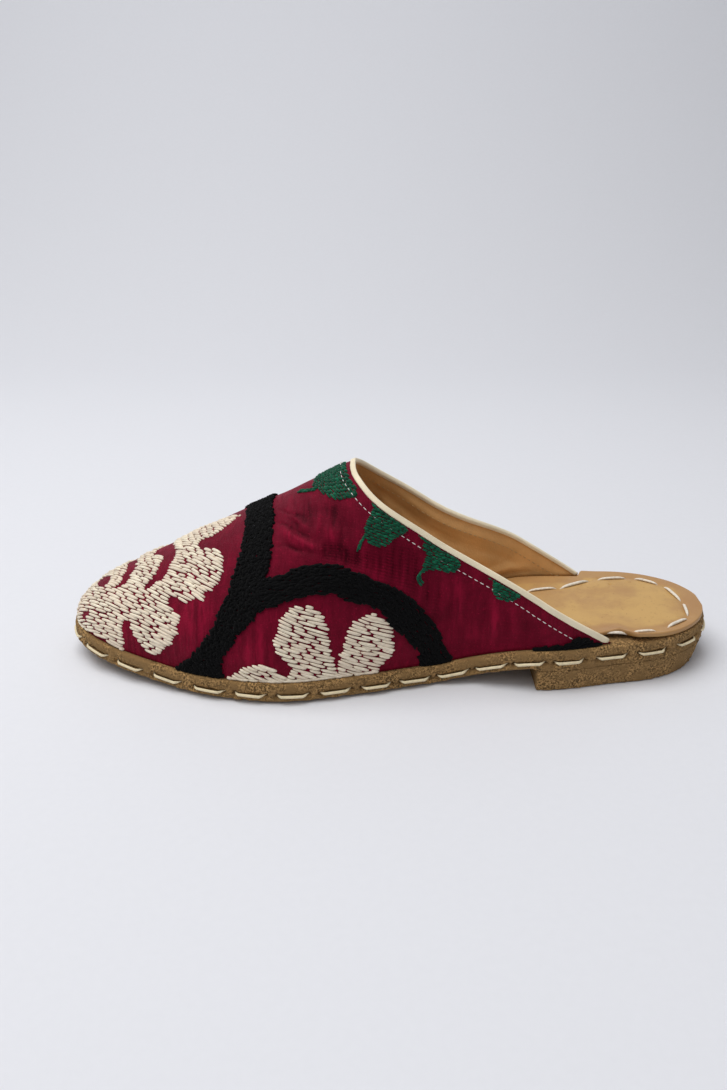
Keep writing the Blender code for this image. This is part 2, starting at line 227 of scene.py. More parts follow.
def last_surface(share, around, depth):
    """Point of the upper: around runs from -1 (outer sole line) over 0 (ridge) to 1.

    y = middle + sign(a) W sin(a)^(2/n) and z = feather + H cos(a)^(2/n), where a is around
    times a right angle and W, H and the toe shrink by the depth below the skin.
    """
    share = np.asarray(share, float)
    around = np.asarray(around, float)
    tip = share * SOLE_LENGTH - UPPER_TIP_INSET - depth
    toe = rounded_end(tip, TOE_ROUND, TOE_EXPONENT)
    heel = rounded_end((1 - share) * SOLE_LENGTH, HEEL_ROUND, HEEL_EXPONENT)
    width = (section_value(share, 1) * BALL_WIDTH - UPPER_INSET - depth) * toe * heel
    height = section_value(share, 3) * INSTEP_HEIGHT - depth
    height = height * rounded_end(tip, TOE_CAP_ROUND, TOE_CAP_EXPONENT)
    power = 2 / section_value(share, 4)
    angle = np.clip(np.abs(around), 0, 1) * np.pi / 2
    arch = np.clip(np.cos(angle), 0, 1) ** power
    lean = section_value(share, 5) * BALL_WIDTH * toe
    y = middle(share) + lean * arch + np.sign(around) * width * np.sin(angle) ** power
    z = rise(share) + FEATHER + height * arch
    return np.stack(np.broadcast_arrays(along(share), y, z), axis=-1)


def topline_share(around):
    back = curve_through(np.abs(around), column(TOPLINE, 0), column(TOPLINE, 1))
    return THROAT + (TOPLINE_END - THROAT) * back


# The upper's chart: travel back from the toe tip, and distance round from the outer sole line.
CHART_BEND = 0.045
CHART_START = 0.00002
CHART_END = 0.262
CHART_ROWS = 525
CHART_COLUMNS = 400
# Short steps for slopes on the last, along it and round it, and how near the sole line
# they are still taken.
TRAVEL_STEP = 0.0004
ROUND_STEP = 0.004
ROUND_LIMIT = 0.995


def share_from_travel(travel):
    """Travel turns down the toe along a quarter circle, so the rounded toe is stepped evenly."""
    turn = np.clip(travel / CHART_BEND, 0, np.pi / 2)
    distance = CHART_BEND * (1 - np.cos(turn)) + travel - CHART_BEND * turn
    return (distance + UPPER_TIP_INSET + CHART_START) / SOLE_LENGTH


def travel_from_share(share):
    distance = share * SOLE_LENGTH - UPPER_TIP_INSET - CHART_START
    turn = np.arccos(np.clip(1 - distance / CHART_BEND, 0, 1))
    return CHART_BEND * turn + np.clip(distance - CHART_BEND, 0, None)


def look_up(table, row, place):
    """Value between the entries of a table, row and place given as shares from 0 to 1."""
    row = np.clip(row, 0, 1) * (table.shape[0] - 1)
    place = np.clip(place, 0, 1) * (table.shape[1] - 1)
    i = np.minimum(row.astype(int), table.shape[0] - 2)
    j = np.minimum(place.astype(int), table.shape[1] - 2)
    u = row - i
    v = place - j
    near = table[i, j] * (1 - v) + table[i, j + 1] * v
    far = table[i + 1, j] * (1 - v) + table[i + 1, j + 1] * v
    return near * (1 - u) + far * u


class UpperChart:
    """Arc lengths on the upper's cross-sections, and the ridge's own length."""

    def __init__(self):
        self.travel = np.linspace(0, CHART_END, CHART_ROWS)
        around = np.linspace(-1, 1, 2 * CHART_COLUMNS + 1)
        share = share_from_travel(self.travel)
        points = last_surface(share[:, None], around[None, :], 0.0)
        chords = np.linalg.norm(np.diff(points, axis=1), axis=2)
        self.round = np.concatenate([np.zeros((CHART_ROWS, 1)), np.cumsum(chords, axis=1)], axis=1)
        self.whole = self.round[:, -1]
        self.ridge = self.round[:, CHART_COLUMNS]
        parts = np.linspace(0, 1, 2 * CHART_COLUMNS + 1)
        self.around = np.stack([np.interp(parts * r[-1], r, around) for r in self.round])
        steps = np.linalg.norm(np.diff(points[:, CHART_COLUMNS], axis=0), axis=1)
        self.ridge_travel = np.concatenate([[0], np.cumsum(steps)]) + MM

    def distance(self, travel, around):
        """Distance round from the outer sole line."""
        return look_up(self.round, travel / CHART_END, (around + 1) / 2)

    def turn(self, travel, distance):
        """The around value at a distance round from the outer sole line."""
        whole = np.interp(travel, self.travel, self.whole)
        return look_up(self.around, travel / CHART_END, distance / np.maximum(whole, 1e-6))


CHART = UpperChart()


def surface_normal(travel, around):
    """Outward normal of the upper, from the cross product of two short steps on it."""
    around = np.clip(around, -ROUND_LIMIT, ROUND_LIMIT)
    share = share_from_travel(travel)
    back = last_surface(share_from_travel(travel + TRAVEL_STEP), around, 0.0)
    front = last_surface(share_from_travel(np.clip(travel - TRAVEL_STEP, 0, None)), around, 0.0)
    left = last_surface(share, around - ROUND_STEP, 0.0)
    right = last_surface(share, around + ROUND_STEP, 0.0)
    normal = np.cross(back - front, right - left)
    flat = np.linalg.norm(normal, axis=-1, keepdims=True) < 1e-14
    return unit(np.where(flat, np.array([-1.0, 0.0, 0.0]), normal))


# Soft troughs and ridges of the cloth, charted in millimetres: half width, height
# (below nothing for a trough) and a line of (travel, distance from the sole line) points.
OUTER_FOLDS = (
    (1.8, -0.50, ((124, 76), (125, 67), (121, 61))),
    (2.0, -0.60, ((129.5, 72), (128.5, 62), (127, 56))),
    (1.6, -0.55, ((133.5, 72), (132.5, 62), (131, 53))),
    (2.4, -0.70, ((137, 70), (136.5, 65.5), (137, 58))),
    (1.5, -0.60, ((140.5, 65), (140.5, 57), (139.5, 48))),
    (1.3, -0.50, ((143.5, 63), (143, 56), (143, 51))),
    (0.8, -0.57, ((133.5, 58), (133.5, 50), (133, 46.5))),
    (0.7, -0.51, ((135.6, 55), (135.2, 50), (135, 47))),
    (0.8, -0.63, ((137.8, 54), (137.5, 49.5), (137, 46))),
    (0.7, -0.51, ((139.6, 52), (139.5, 49), (139.5, 45.5))),
    (0.8, -0.66, ((141.6, 52), (141.5, 47.5), (141.3, 44.5))),
    (0.7, -0.54, ((143.4, 50), (143.3, 46.5), (143, 43.8))),
    (0.9, -0.72, ((145.8, 50.5), (145.6, 46), (145.4, 42.6))),
    (0.7, -0.54, ((147.6, 50), (147.2, 46), (147, 42))),
    (0.9, -0.75, ((149.8, 51), (149.6, 46), (149.4, 41.5))),
    (0.8, -0.63, ((152.2, 51), (152, 45), (151.5, 40.8))),
    (0.9, -0.75, ((154.8, 51), (154.5, 44), (154, 39.5))),
    (0.8, -0.63, ((157.4, 50.5), (157, 43.5), (156.5, 37.6))),
    (1.0, -0.78, ((160.2, 52), (159.6, 43.5), (159, 36.4))),
    (0.9, -0.66, ((163.2, 51.5), (162.5, 43), (162, 35))),
    (1.1, -0.75, ((166.3, 51), (165.5, 41), (165, 32.5))),
    (0.9, -0.57, ((168.6, 48), (168.2, 39), (167.6, 30.5))),
    (1.2, -0.42, ((173, 39), (173.4, 32), (172, 23))),
    (1.0, -0.32, ((177, 37), (177.6, 29), (176, 19))),
    (1.4, -0.26, ((182, 37), (183, 28), (181, 15))),
    (1.2, -0.20, ((188, 35), (189, 25), (187, 11))),
    (1.6, -0.22, ((195, 31), (196, 21), (194, 8))),
    (1.4, -0.28, ((203, 20), (204, 13), (203, 4))),
    (1.8, -0.34, ((211, 16), (212, 10), (211, 3))),
    (1.5, -0.36, ((118, 68), (122, 60), (130, 54))),
    (1.2, -0.30, ((115, 58), (121, 53), (130, 50))),
    (1.4, 0.34, ((116, 62), (123, 56), (131, 52))),
    (0.8, -0.30, ((114, 73), (119, 69), (126, 66))),
    (0.7, -0.26, ((113, 66), (118, 63.5), (124, 58))),
    (0.7, -0.26, ((113, 54), (118, 54.5), (124, 51))),
    (0.8, -0.28, ((120, 76), (121.5, 70), (121, 64))),
    (0.8, 0.24, ((117, 72), (121, 66), (127, 60))),
    (0.8, -0.28, ((126, 76), (126.5, 70), (125, 62))),
    (0.8, 0.26, ((123.5, 74), (124, 68), (123, 62))),
    (3.0, 0.45, ((131, 68), (130.8, 62), (129, 56))),
    (2.0, 0.40, ((135, 62), (134.6, 57), (133, 53))),
    (2.0, 0.45, ((142, 60), (142, 55), (141, 50))),
    (3.4, 0.36, ((149.5, 51), (149.7, 45), (149.4, 40))),
    (3.4, 0.36, ((157.0, 50), (156.8, 43), (156.4, 37))),
    (3.4, 0.34, ((165.5, 48), (165.0, 40), (164.0, 31))),
    (3.4, 0.18, ((185, 33), (186, 24), (184, 12))),
    (4.0, 0.20, ((199, 26), (200, 17), (198.5, 6))),
    (4.5, 0.34, ((104, 4), (107, 16), (106, 24))),
    (5.5, 0.38, ((78, 35), (83, 24), (80, 12))),
    (4.0, 0.26, ((52, 5), (54, 9), (56, 4))),
)
# On the inner side in the same way.
INNER_FOLDS = (
    (2.8, -0.50, ((128, 74), (130, 64), (129, 52))),
    (3.2, -0.60, ((138, 72), (140, 60), (137, 46))),
    (1.8, -0.50, ((147, 60), (150, 50), (148, 40))),
    (2.2, -0.55, ((156, 56), (159, 46), (156, 34))),
    (1.8, -0.45, ((165, 47), (167, 38), (165, 26))),
    (2.4, -0.45, ((176, 38), (178, 28), (176, 14))),
    (3.0, -0.40, ((190, 32), (192, 22), (190, 8))),
    (3.4, -0.40, ((204, 22), (206, 14), (205, 4))),
    (4.2, 0.40, ((133, 58), (134, 50), (132, 42))),
    (2.8, 0.35, ((153, 48), (154, 40), (152, 32))),
    (5.5, 0.40, ((92, 30), (96, 20), (94, 8))),
    (5.5, 0.35, ((66, 20), (70, 12), (68, 4))),
)
FOLD_SCALE = 1.8
# The cloth's overall unevenness in millimetres: height, seed, number of waves, longest and
# shortest wave.
CLOTH_WAVES = ((0.30, 11, 9, 34.0, 13.0), (0.07, 13, 12, 9.0, 3.5))
# Over these lengths the relief fades out at the sole line and at the rim.
SOLE_EASE = 0.005
RIM_EASE = 0.006
# Cloth and lining together at the rim.
RIM_WALL = 0.00085


def distance_to_line(places, line):
    """Distance from each place to a bent line, and the nearest point's share of its length."""
    line = np.asarray(line, float)
    start = line[:-1]
    step = np.diff(line, axis=0)
    size = np.linalg.norm(step, axis=1)
    share = ((places[:, None] - start) * step).sum(-1) / (size * size)
    share = np.clip(share, 0, 1)
    gap = np.linalg.norm(places[:, None] - start - share[..., None] * step, axis=-1)
    best = gap.argmin(axis=1)
    row = np.arange(len(places))
    before = np.concatenate([[0], np.cumsum(size)])
    travelled = (before[best] + share[row, best] * size[best]) / before[-1]
    return gap[row, best], travelled


def fold_height(places, folds):
    """Sum of the folds at each place: a bell across each line that fades out at its ends."""
    height = np.zeros(len(places))
    for half, top, line in folds:
        gap, travelled = distance_to_line(places, line)
        fade = np.sin(np.pi * np.clip(travelled, 0.04, 0.96)) ** 0.6
        height += top * np.exp(-((gap / half) ** 2)) * fade
    return height


def waves(first, second, seed, count, longest, shortest):
    """Gentle unevenness between -1 and 1: sine waves of seeded direction, length and phase."""
    random = np.random.default_rng(seed)
    total = np.zeros(np.shape(first))
    for _ in range(count):
        length = random.uniform(shortest, longest)
        angle = random.uniform(0, np.pi)
        phase = random.uniform(0, 2 * np.pi)
        across = (first * math.cos(angle) + second * math.sin(angle)) / length
        total += np.sin(2 * np.pi * across + phase)
    return total / count


def skin_relief(travel, around):
    """Height of the cloth's folds and unevenness over the bare last."""
    distance = CHART.distance(travel, around)
    whole = np.interp(travel, CHART.travel, CHART.whole)
    outer = np.stack([travel, distance], axis=-1).reshape(-1, 2) / MM
    inner = np.stack([travel, whole - distance], axis=-1).reshape(-1, 2) / MM
    height = FOLD_SCALE * (fold_height(outer, OUTER_FOLDS) + fold_height(inner, INNER_FOLDS))
    height = height.reshape(np.shape(distance))
    for top, *shape in CLOTH_WAVES:
        height = height + top * waves(travel / MM, distance / MM, *shape)
    edge = smooth_step(np.minimum(distance, whole - distance) / SOLE_EASE)
    return height * edge * smooth_step(rim_distance(travel, around) / RIM_EASE) * MM


SLANT_STEP = 0.01
SLANT_LIMIT = 0.98


def rim_slant(around):
    """How many times longer the way to the topline is lengthwise than square to it."""
    near = np.clip(around, -SLANT_LIMIT, SLANT_LIMIT)
    share = topline_share(near)
    left, right = near - SLANT_STEP, near + SLANT_STEP
    climb = (topline_share(right) - topline_share(left)) * SOLE_LENGTH
    step = last_surface(share, right, 0.0) - last_surface(share, left, 0.0)
    girth = np.maximum(np.linalg.norm(step, axis=-1), 1e-5)
    return np.sqrt(1 + (climb / girth) ** 2)


def rim_distance(travel, around):
    """Distance from the topline, measured square to it."""
    share = share_from_travel(travel)
    return (topline_share(around) - share) * SOLE_LENGTH / rim_slant(around)


def skin_point(travel, around, lift):
    """Point a height over the draped cloth, and the surface's normal there."""
    travel, around = np.broadcast_arrays(travel, around)
    normal = surface_normal(travel, around)
    base = last_surface(share_from_travel(travel), around, 0.0)
    height = skin_relief(travel, around) + lift
    return base + normal * height[..., None], normal


def make_mesh(name, points, faces, uv=None, tone=None):
    """Smooth mesh from whole arrays of points and of three- or four-cornered faces."""
    mesh = bpy.data.meshes.new(name)
    points = np.asarray(points, np.float32).reshape(-1, 3)
    faces = [np.asarray(part, np.int32) for part in faces if len(part)]
    corners = np.concatenate([part.ravel() for part in faces])
    sizes = np.concatenate([np.full(len(part), part.shape[1], np.int32) for part in faces])
    mesh.vertices.add(len(points))
    mesh.vertices.foreach_set("co", points.ravel())
    mesh.loops.add(len(corners))
    mesh.loops.foreach_set("vertex_index", corners)
    mesh.polygons.add(len(sizes))
    starts = np.concatenate([[0], np.cumsum(sizes)[:-1]])
    mesh.polygons.foreach_set("loop_start", starts.astype(np.int32))
    if uv is not None:
        layer = mesh.uv_layers.new(name="measured")
        layer.data.foreach_set("uv", np.asarray(uv, np.float32).reshape(-1, 2)[corners].ravel())
    if tone is not None:
        layer = mesh.attributes.new("tone", "FLOAT", "POINT")
        layer.data.foreach_set("value", np.asarray(tone, np.float32).ravel())
    mesh.update(calc_edges=True)
    mesh.validate()
    mesh.shade_smooth()
    return mesh


def close_seams(mesh, reach=0.000004):
    """Joins points that lie on each other, and turns every face outwards."""
    shell = bmesh.new()
    shell.from_mesh(mesh)
    bmesh.ops.remove_doubles(shell, verts=shell.verts, dist=reach)
    for _ in range(2):
        bmesh.ops.collapse(shell, edges=[edge for edge in shell.edges if len(edge.link_faces) > 2])
        bmesh.ops.dissolve_degenerate(shell, edges=shell.edges, dist=reach)
    bmesh.ops.holes_fill(shell, edges=[edge for edge in shell.edges if edge.is_boundary])
    bmesh.ops.recalc_face_normals(shell, faces=shell.faces)
    shell.to_mesh(mesh)
    shell.free()


def add_piece(mesh, material, stands_for=()):
    """Puts a mesh in the scene as a piece of the shoe."""
    mesh.materials.append(material)
    piece = bpy.data.objects.new(mesh.name, mesh)
    bpy.context.scene.collection.objects.link(piece)
    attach(piece, "root")
    if stands_for:
        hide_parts(*stands_for)
    return piece


def grid_quads(rows, columns, wrap=False):
    """Four-cornered faces between the neighbouring points of a grid."""
    number = np.arange(rows * columns).reshape(rows, columns)
    if wrap:
        number = np.concatenate([number, number[:, :1]], axis=1)
    parts = (number[:-1, :-1], number[:-1, 1:], number[1:, 1:], number[1:, :-1])
    return np.stack(parts, axis=-1).reshape(-1, 4)


def tubes(centres, normals, half_across, half_up, sides, tone):
    """Closed tubes laid along many short paths at once.

    A ring's point is centre + side * half_across * cos(a) + up * half_up * sin(a), where
    side = normal x tangent and up = tangent x side. Rings join into quads, and a fan of
    triangles closes each end. The seam of the UV map runs along the underside.
    """
    tangent = unit(np.gradient(centres, axis=1))
    side = unit(np.cross(normals, tangent))
    up = np.cross(tangent, side)
    angle = -0.5 * np.pi + 2 * np.pi * np.arange(sides) / sides
    ring = centres[:, :, None]
    ring = ring + side[:, :, None] * (half_across[..., None] * np.cos(angle))[..., None]
    ring = ring + up[:, :, None] * (half_up[..., None] * np.sin(angle))[..., None]
    count, rings = centres.shape[:2]
    body = ring.reshape(count, rings * sides, 3)
    points = np.concatenate([body, centres[:, [0, -1]]], axis=1)
    number = np.arange(rings * sides).reshape(rings, sides)
    after = np.roll(number, -1, axis=1)
    quads = np.stack([number[:-1], after[:-1], after[1:], number[1:]], axis=-1).reshape(-1, 4)
    start = np.stack([np.full(sides, rings * sides), after[0], number[0]], axis=-1)
    end = np.stack([np.full(sides, rings * sides + 1), number[-1], after[-1]], axis=-1)
    fans = np.concatenate([start, end])
    offset = (np.arange(count) * (rings * sides + 2))[:, None, None]
    travel = np.cumsum(np.linalg.norm(np.diff(centres, axis=1), axis=2), axis=1)
    travel = np.concatenate([np.zeros((count, 1)), travel], axis=1)
    u = np.repeat(travel, sides, axis=1)
    v = np.tile(np.arange(sides) / sides, (count, rings))
    ends = np.stack([travel[:, [0, -1]], np.full((count, 2), 0.5)], axis=-1)
    uv = np.concatenate([np.stack([u, v], axis=-1), ends], axis=1)
    tones = np.repeat(tone[:, None], rings * sides + 2, axis=1)
    faces = [(quads[None] + offset).reshape(-1, 4), (fans[None] + offset).reshape(-1, 3)]
    return points, faces, uv, tones


def add_node(tree, kind, inputs, **settings):
    """Adds a shader node, with its settings, and fills its inputs with values or links."""
    node = tree.nodes.new("ShaderNode" + kind)
    for name, value in settings.items():
        setattr(node, name, value)
    for name, value in inputs.items():
        if isinstance(value, bpy.types.NodeSocket):
            tree.links.new(value, node.inputs[name])
        else:
            node.inputs[name].default_value = value
    return node


def start_material(name, roughness, **sockets):
    """Material with a Principled surface; constants go straight onto its sockets.

    Returns the material, its tree, the surface and the Object coordinates.
    """
    material = bpy.data.materials.new(name)
    material.use_nodes = True
    tree = material.node_tree
    surface = tree.nodes["Principled BSDF"]
    surface.inputs["Roughness"].default_value = roughness
    for socket, value in sockets.items():
        surface.inputs[socket.replace("_", " ")].default_value = value
    place = add_node(tree, "TexCoord", {}).outputs["Object"]
    return material, tree, surface, place


# Roughness of a cloudy pattern between its octaves, and the wave pattern's own period:
# ribs a metre apart have this scale.
CLOUD_ROUGHNESS = 0.55
RIB_SCALE = math.pi / 10


def mottle(tree, place, size, low, high, detail=4.0, roughness=CLOUD_ROUGHNESS):
    """Soft-edged patches of a size in metres: a cloudy pattern, 0 below one of its values
    and 1 above another."""
    clouds = add_node(tree, "TexNoise", {
        "Vector": place, "Scale": 1 / size, "Detail": detail, "Roughness": roughness})
    return add_node(tree, "MapRange", {
        "Value": clouds.outputs["Fac"], "From Min": low, "From Max": high,
    }, interpolation_type="SMOOTHSTEP").outputs[0]


def twisted_ribs(tree, strand, ply, distortion):
    """Ribs slanting over a strand's own map, a ply apart, as its plies wind round it."""
    view = add_node(tree, "Mapping", {"Vector": strand, "Scale": (1.0, 2 * ply, 1.0)})
    return add_node(tree, "TexWave", {
        "Vector": view.outputs[0], "Scale": RIB_SCALE / ply, "Distortion": distortion,
        "Detail Scale": 2.0,
    }, bands_direction="DIAGONAL").outputs["Fac"]


def dye(tree, surface, layers):
    """Colours laid over each other, ending on the surface.

    A layer is a pattern, the colour where it is 0 and the colour where it is 1, and None
    stands for the layers before it. A pattern with two values fades between those values.
    """
    base = None
    for pattern, *colours in layers:
        if isinstance(pattern, tuple):
            inputs = dict(zip(("Value", "From Min", "From Max"), pattern))
            pattern = add_node(tree, "MapRange", inputs, interpolation_type="SMOOTHSTEP").outputs[0]
        first, second = (base if shade is None else (*shade, 1) for shade in colours)
        base = add_node(tree, "Mix", {0: pattern, 6: first, 7: second}, data_type="RGBA").outputs[2]
    tree.links.new(base, surface.inputs["Base Color"])


def relief(tree, surface, place, layers):
    """Chain of bumps, ending on the surface.

    A layer is a height, a strength and a distance in metres. A height given as a size in
    metres is a cloudy pattern of that size.
    """
    normal = None
    for height, strength, distance in layers:
        if isinstance(height, float):
            height = add_node(tree, "TexNoise", {
                "Vector": place, "Scale": 1 / height, "Detail": 3.0, "Roughness": CLOUD_ROUGHNESS,
            }).outputs["Fac"]
        inputs = {"Height": height, "Strength": strength, "Distance": distance}
        if normal is not None:
            inputs["Normal"] = normal
        normal = add_node(tree, "Bump", inputs).outputs[0]
    tree.links.new(normal, surface.inputs["Normal"])


def length_property(name, description, millimetres):
    return bpy.props.FloatProperty(
        name=name, description=description, default=millimetres * MM, unit="LENGTH", precision=5)


def colour_property(name, description, code):
    return bpy.props.FloatVectorProperty(
        name=name, description=description, default=linear(code), subtype="COLOR", min=0, max=1)


class MuleSizes(bpy.types.PropertyGroup):
    """Sizes of yarn, thread and stitches."""

    yarn_width: length_property("Yarn width", "Width of one strand of cream yarn", 1.26)
    row_spacing: length_property("Row spacing", "Distance between rows of cream yarn", 1.30)
    yarn_stitch: length_property("Yarn stitch", "Length of one cream stitch", 7.4)
    yarn_height: length_property("Yarn height", "How far the cream yarn stands over the cloth", 1.05)
    sole_thread: length_property("Sole thread", "Width of the waxed thread round the sole", 1.18)
    machine_pitch: length_property("Machine stitch", "Length of one machine stitch with its gap", 2.6)


class MuleColours(bpy.types.PropertyGroup):
    """Colours of the shoe's materials."""

    cloth: colour_property("Cloth", "Wine red of the cotton cloth", "6A0A22")
    cream: colour_property("Cream yarn", "Undyed wool of the flower motifs", "FCEBD4")
    black: colour_property("Black yarn", "Black wool of the bands", "040405")
    green: colour_property("Green yarn", "Green wool of the leaves", "085C40")
    binding: colour_property("Binding", "Cream leather of the collar strip", "F6E8C8")
    lining: colour_property("Lining", "Tan leather of the lining", "E6B272")
    insole: colour_property("Insole", "Tan leather of the insole", "C49D5E")
    suede: colour_property("Suede", "Brown napped leather of the sole", "9E7C50")
    thread: colour_property("Thread", "Off-white waxed thread of the sole", "F0E0BA")


def sizes():
    return bpy.context.scene.mule_sizes


def colour(name):
    return tuple(getattr(bpy.context.scene.mule_colours, name))


def tinted(rgb, factor):
    """The same hue, lighter or darker by a factor."""
    return tuple(min(1.0, c * factor) for c in rgb)


# The cloth's weave, and how its streaks of dye and its thicker threads are drawn out.
WEAVE = 0.55 * MM
DYE_STREAKS = (6.0, 1.0, 1.0)
THICK_THREADS = (1.0, 6.0, 1.0)


def wine_cotton():
    """Plain-woven cotton, dyed wine red, its surface slightly raised by wear.

    The raised fibres catch light at a grazing angle, dye and rubbing leave soft patches,
    thicker threads show as short level streaks, and the tone attribute, which follows the
    folds' height, paints shade into the troughs and a highlight onto the ridges. The weave is
    drawn at 0.55 mm, about twice as coarse as the real one, so that it shows.
    """
    red = colour("cloth")
    material, tree, surface, place = start_material(
        "wine_cotton", 0.62, Sheen_Weight=0.4, Sheen_Roughness=0.4,
        Sheen_Tint=(*linear("E02850"), 1), Specular_IOR_Level=0.35,
        Specular_Tint=(*linear("F06080"), 1))
    cloth = add_node(tree, "UVMap", {}, uv_map="measured").outputs[0]
    height = add_node(tree, "Attribute", {}, attribute_name="tone").outputs["Fac"]
    streaks, threads = (
        add_node(tree, "Mapping", {"Vector": cloth, "Scale": scale}).outputs[0]
        for scale in (DYE_STREAKS, THICK_THREADS))
    drops = mottle(tree, streaks, 14 * MM, 0.35, 0.68)
    slubs = add_node(tree, "TexNoise", {
        "Vector": threads, "Scale": 1 / (5 * MM), "Detail": 3.0, "Roughness": CLOUD_ROUGHNESS,
    }).outputs["Fac"]
    warp, weft = (
        add_node(tree, "TexWave", {
            "Vector": cloth, "Scale": RIB_SCALE / WEAVE, "Distortion": 0.6, "Detail Scale": 2.0,
        }, bands_direction=way).outputs["Fac"]
        for way in "XY")
    weave = add_node(tree, "Math", {0: warp, 1: weft}, operation="MULTIPLY").outputs[0]
    dye(tree, surface, [
        (mottle(tree, place, 9 * MM, 0.36, 0.64, 5.0, 0.65), tinted(red, 0.6), tinted(red, 1.1)),
        # Painted shade in the folds' troughs and a painted highlight on their ridges, from the tone
        # attribute.
        ((height, 0.0, 0.6), tinted(red, 0.22), None),
        ((height, 0.5, 1.0), None, tinted(red, 1.8)),
        (drops, None, tinted(red, 0.74)),
        (mottle(tree, place, 0.7 * MM, 0.6, 0.8, 2.0), None, tinted(red, 2.0)),
    ])
    relief(tree, surface, place, [
        (drops, 0.5, 0.4 * MM), (slubs, 0.35, 0.25 * MM), (weave, 0.5, 0.14 * MM),
        (0.45 * MM, 0.6, 0.25 * MM),
    ])
    return material


def wool_yarn(name, rgb, dark, light, ply, rib, fuzz):
    """Two-ply wool yarn, laid in stitches.

    Its twist shows as slanting ribs and its fibres run lengthwise, with painted shade in the
    grooves between plies and between fibres; loose fibres blur the gloss, and each stitch
    took the dye and the handling a little differently, which the tone attribute carries.
    """
    material, tree, surface, place = start_material(
        name, 0.88, Sheen_Weight=fuzz, Sheen_Roughness=0.5, Specular_IOR_Level=0.15)
    strand = add_node(tree, "UVMap", {}, uv_map="measured").outputs[0]
    tone = add_node(tree, "Attribute", {}, attribute_name="tone").outputs["Fac"]
    twist = twisted_ribs(tree, strand, ply, 0.8)
    lengthwise = add_node(tree, "Mapping", {"Vector": strand, "Scale": (0.25, 0.007, 1.0)}).outputs[0]
    fibres = mottle(tree, lengthwise, 1.0 * MM, 0.3, 0.5, 3.0)
    dye(tree, surface, [
        (tone, tinted(rgb, dark), tinted(rgb, light)),
        # Painted shade in the grooves between fibres.
        (fibres, tinted(rgb, dark * 0.85), None),
        (mottle(tree, place, 9 * MM, 0.4, 0.7, 2.0), None, tinted(rgb, 0.5 * (1 + dark))),
        # Painted shade in the grooves between the twisted plies.
        ((twist, rib - 1.2, 0.5), tinted(rgb, dark * 0.8), None),
    ])
    relief(tree, surface, place, [
        (twist, 0.6 * rib, 0.2 * MM), (fibres, 0.4, 0.15 * MM), (0.45 * MM, 0.5, 0.15 * MM),
    ])
    return material


def soft_leather(name, rgb, roughness, pore, dark, coat):
    """Smooth chrome-tanned leather, finished thin: fine pores, soft shading and dull gloss."""
    material, tree, surface, place = start_material(
        name, roughness, Coat_Weight=coat, Coat_Roughness=0.45, Specular_IOR_Level=0.35)
    dye(tree, surface, [
        (mottle(tree, place, 14 * MM, 0.32, 0.7), rgb, tinted(rgb, dark)),
        (mottle(tree, place, 3.5 * MM, 0.55, 0.75, 3.0), None, tinted(rgb, 0.5 * (1 + dark))),
    ])
    pores = add_node(tree, "TexVoronoi", {"Vector": place, "Scale": 1 / pore}).outputs["Distance"]
    relief(tree, surface, place, [(pores, 0.3, 0.15 * MM), (2.2 * MM, 0.35, 0.25 * MM)])
    return material


def insole_leather():
    """Vegetable-tanned cowhide, grain side up, rolled smooth and lightly waxed.

    Fine grain and pores, cloudy lighter and pinker areas where it was wetted and handled,
    and a darker margin outside the stitches, which the tone attribute carries.
    """
    tan = colour("insole")
    material, tree, surface, place = start_material(
        "vegetable_tanned_insole", 0.5, Coat_Weight=0.12, Coat_Roughness=0.35,
        Specular_IOR_Level=0.4)
    margin = add_node(tree, "Attribute", {}, attribute_name="tone").outputs["Fac"]
    dye(tree, surface, [
        (mottle(tree, place, 20 * MM, 0.35, 0.68, 4.0, 0.6), tinted(tan, 1.06), linear("B58B56")),
        (margin, None, linear("AB7F53")),
        (mottle(tree, place, 1.6 * MM, 0.56, 0.78, 4.0, 0.65), None, linear("A97D45")),
    ])
    pores = add_node(tree, "TexVoronoi", {"Vector": place, "Scale": 1 / (0.8 * MM)}).outputs["Distance"]
    hide = add_node(tree, "TexNoise", {
        "Vector": place, "Scale": 1 / (3 * MM), "Detail": 4.0, "Roughness": CLOUD_ROUGHNESS,
    }).outputs["Fac"]
    relief(tree, surface, place, [(pores, 0.2, 0.1 * MM), (hide, 0.25, 0.2 * MM)])
    return material


def brown_suede():
    """Napped flesh side of brown leather, cut and left raw.

    A short fibrous nap with no gloss; the nap's pattern also sets its colour, with painted
    shade in the pits between tufts and paler tips, partly rubbed and partly painted highlight.
    The nap is drawn at 0.8 mm, coarser than the real fibres, so that it shows.
    """
    brown = colour("suede")
    material, tree, surface, place = start_material(
        "brown_suede", 0.97, Sheen_Weight=0.2, Sheen_Roughness=0.6,
        Sheen_Tint=(*linear("C8B08A"), 1), Specular_IOR_Level=0.12)
    nap = add_node(tree, "TexNoise", {
        "Vector": place, "Scale": 1 / (0.8 * MM), "Detail": 4.0, "Roughness": 0.8,
    }).outputs["Fac"]
    dye(tree, surface, [
        # Painted shade in the nap's pits; the paler tips are partly rubbing and partly painted highlight.
        ((nap, 0.42, 0.60), tinted(brown, 0.22), tinted(brown, 1.75)),
        (mottle(tree, place, 7 * MM, 0.35, 0.68, 4.0, 0.6), None, tinted(brown, 0.8)),
    ])
    relief(tree, surface, place, [(2.6 * MM, 0.5, 0.5 * MM), (nap, 1.0, 0.55 * MM)])
    return material


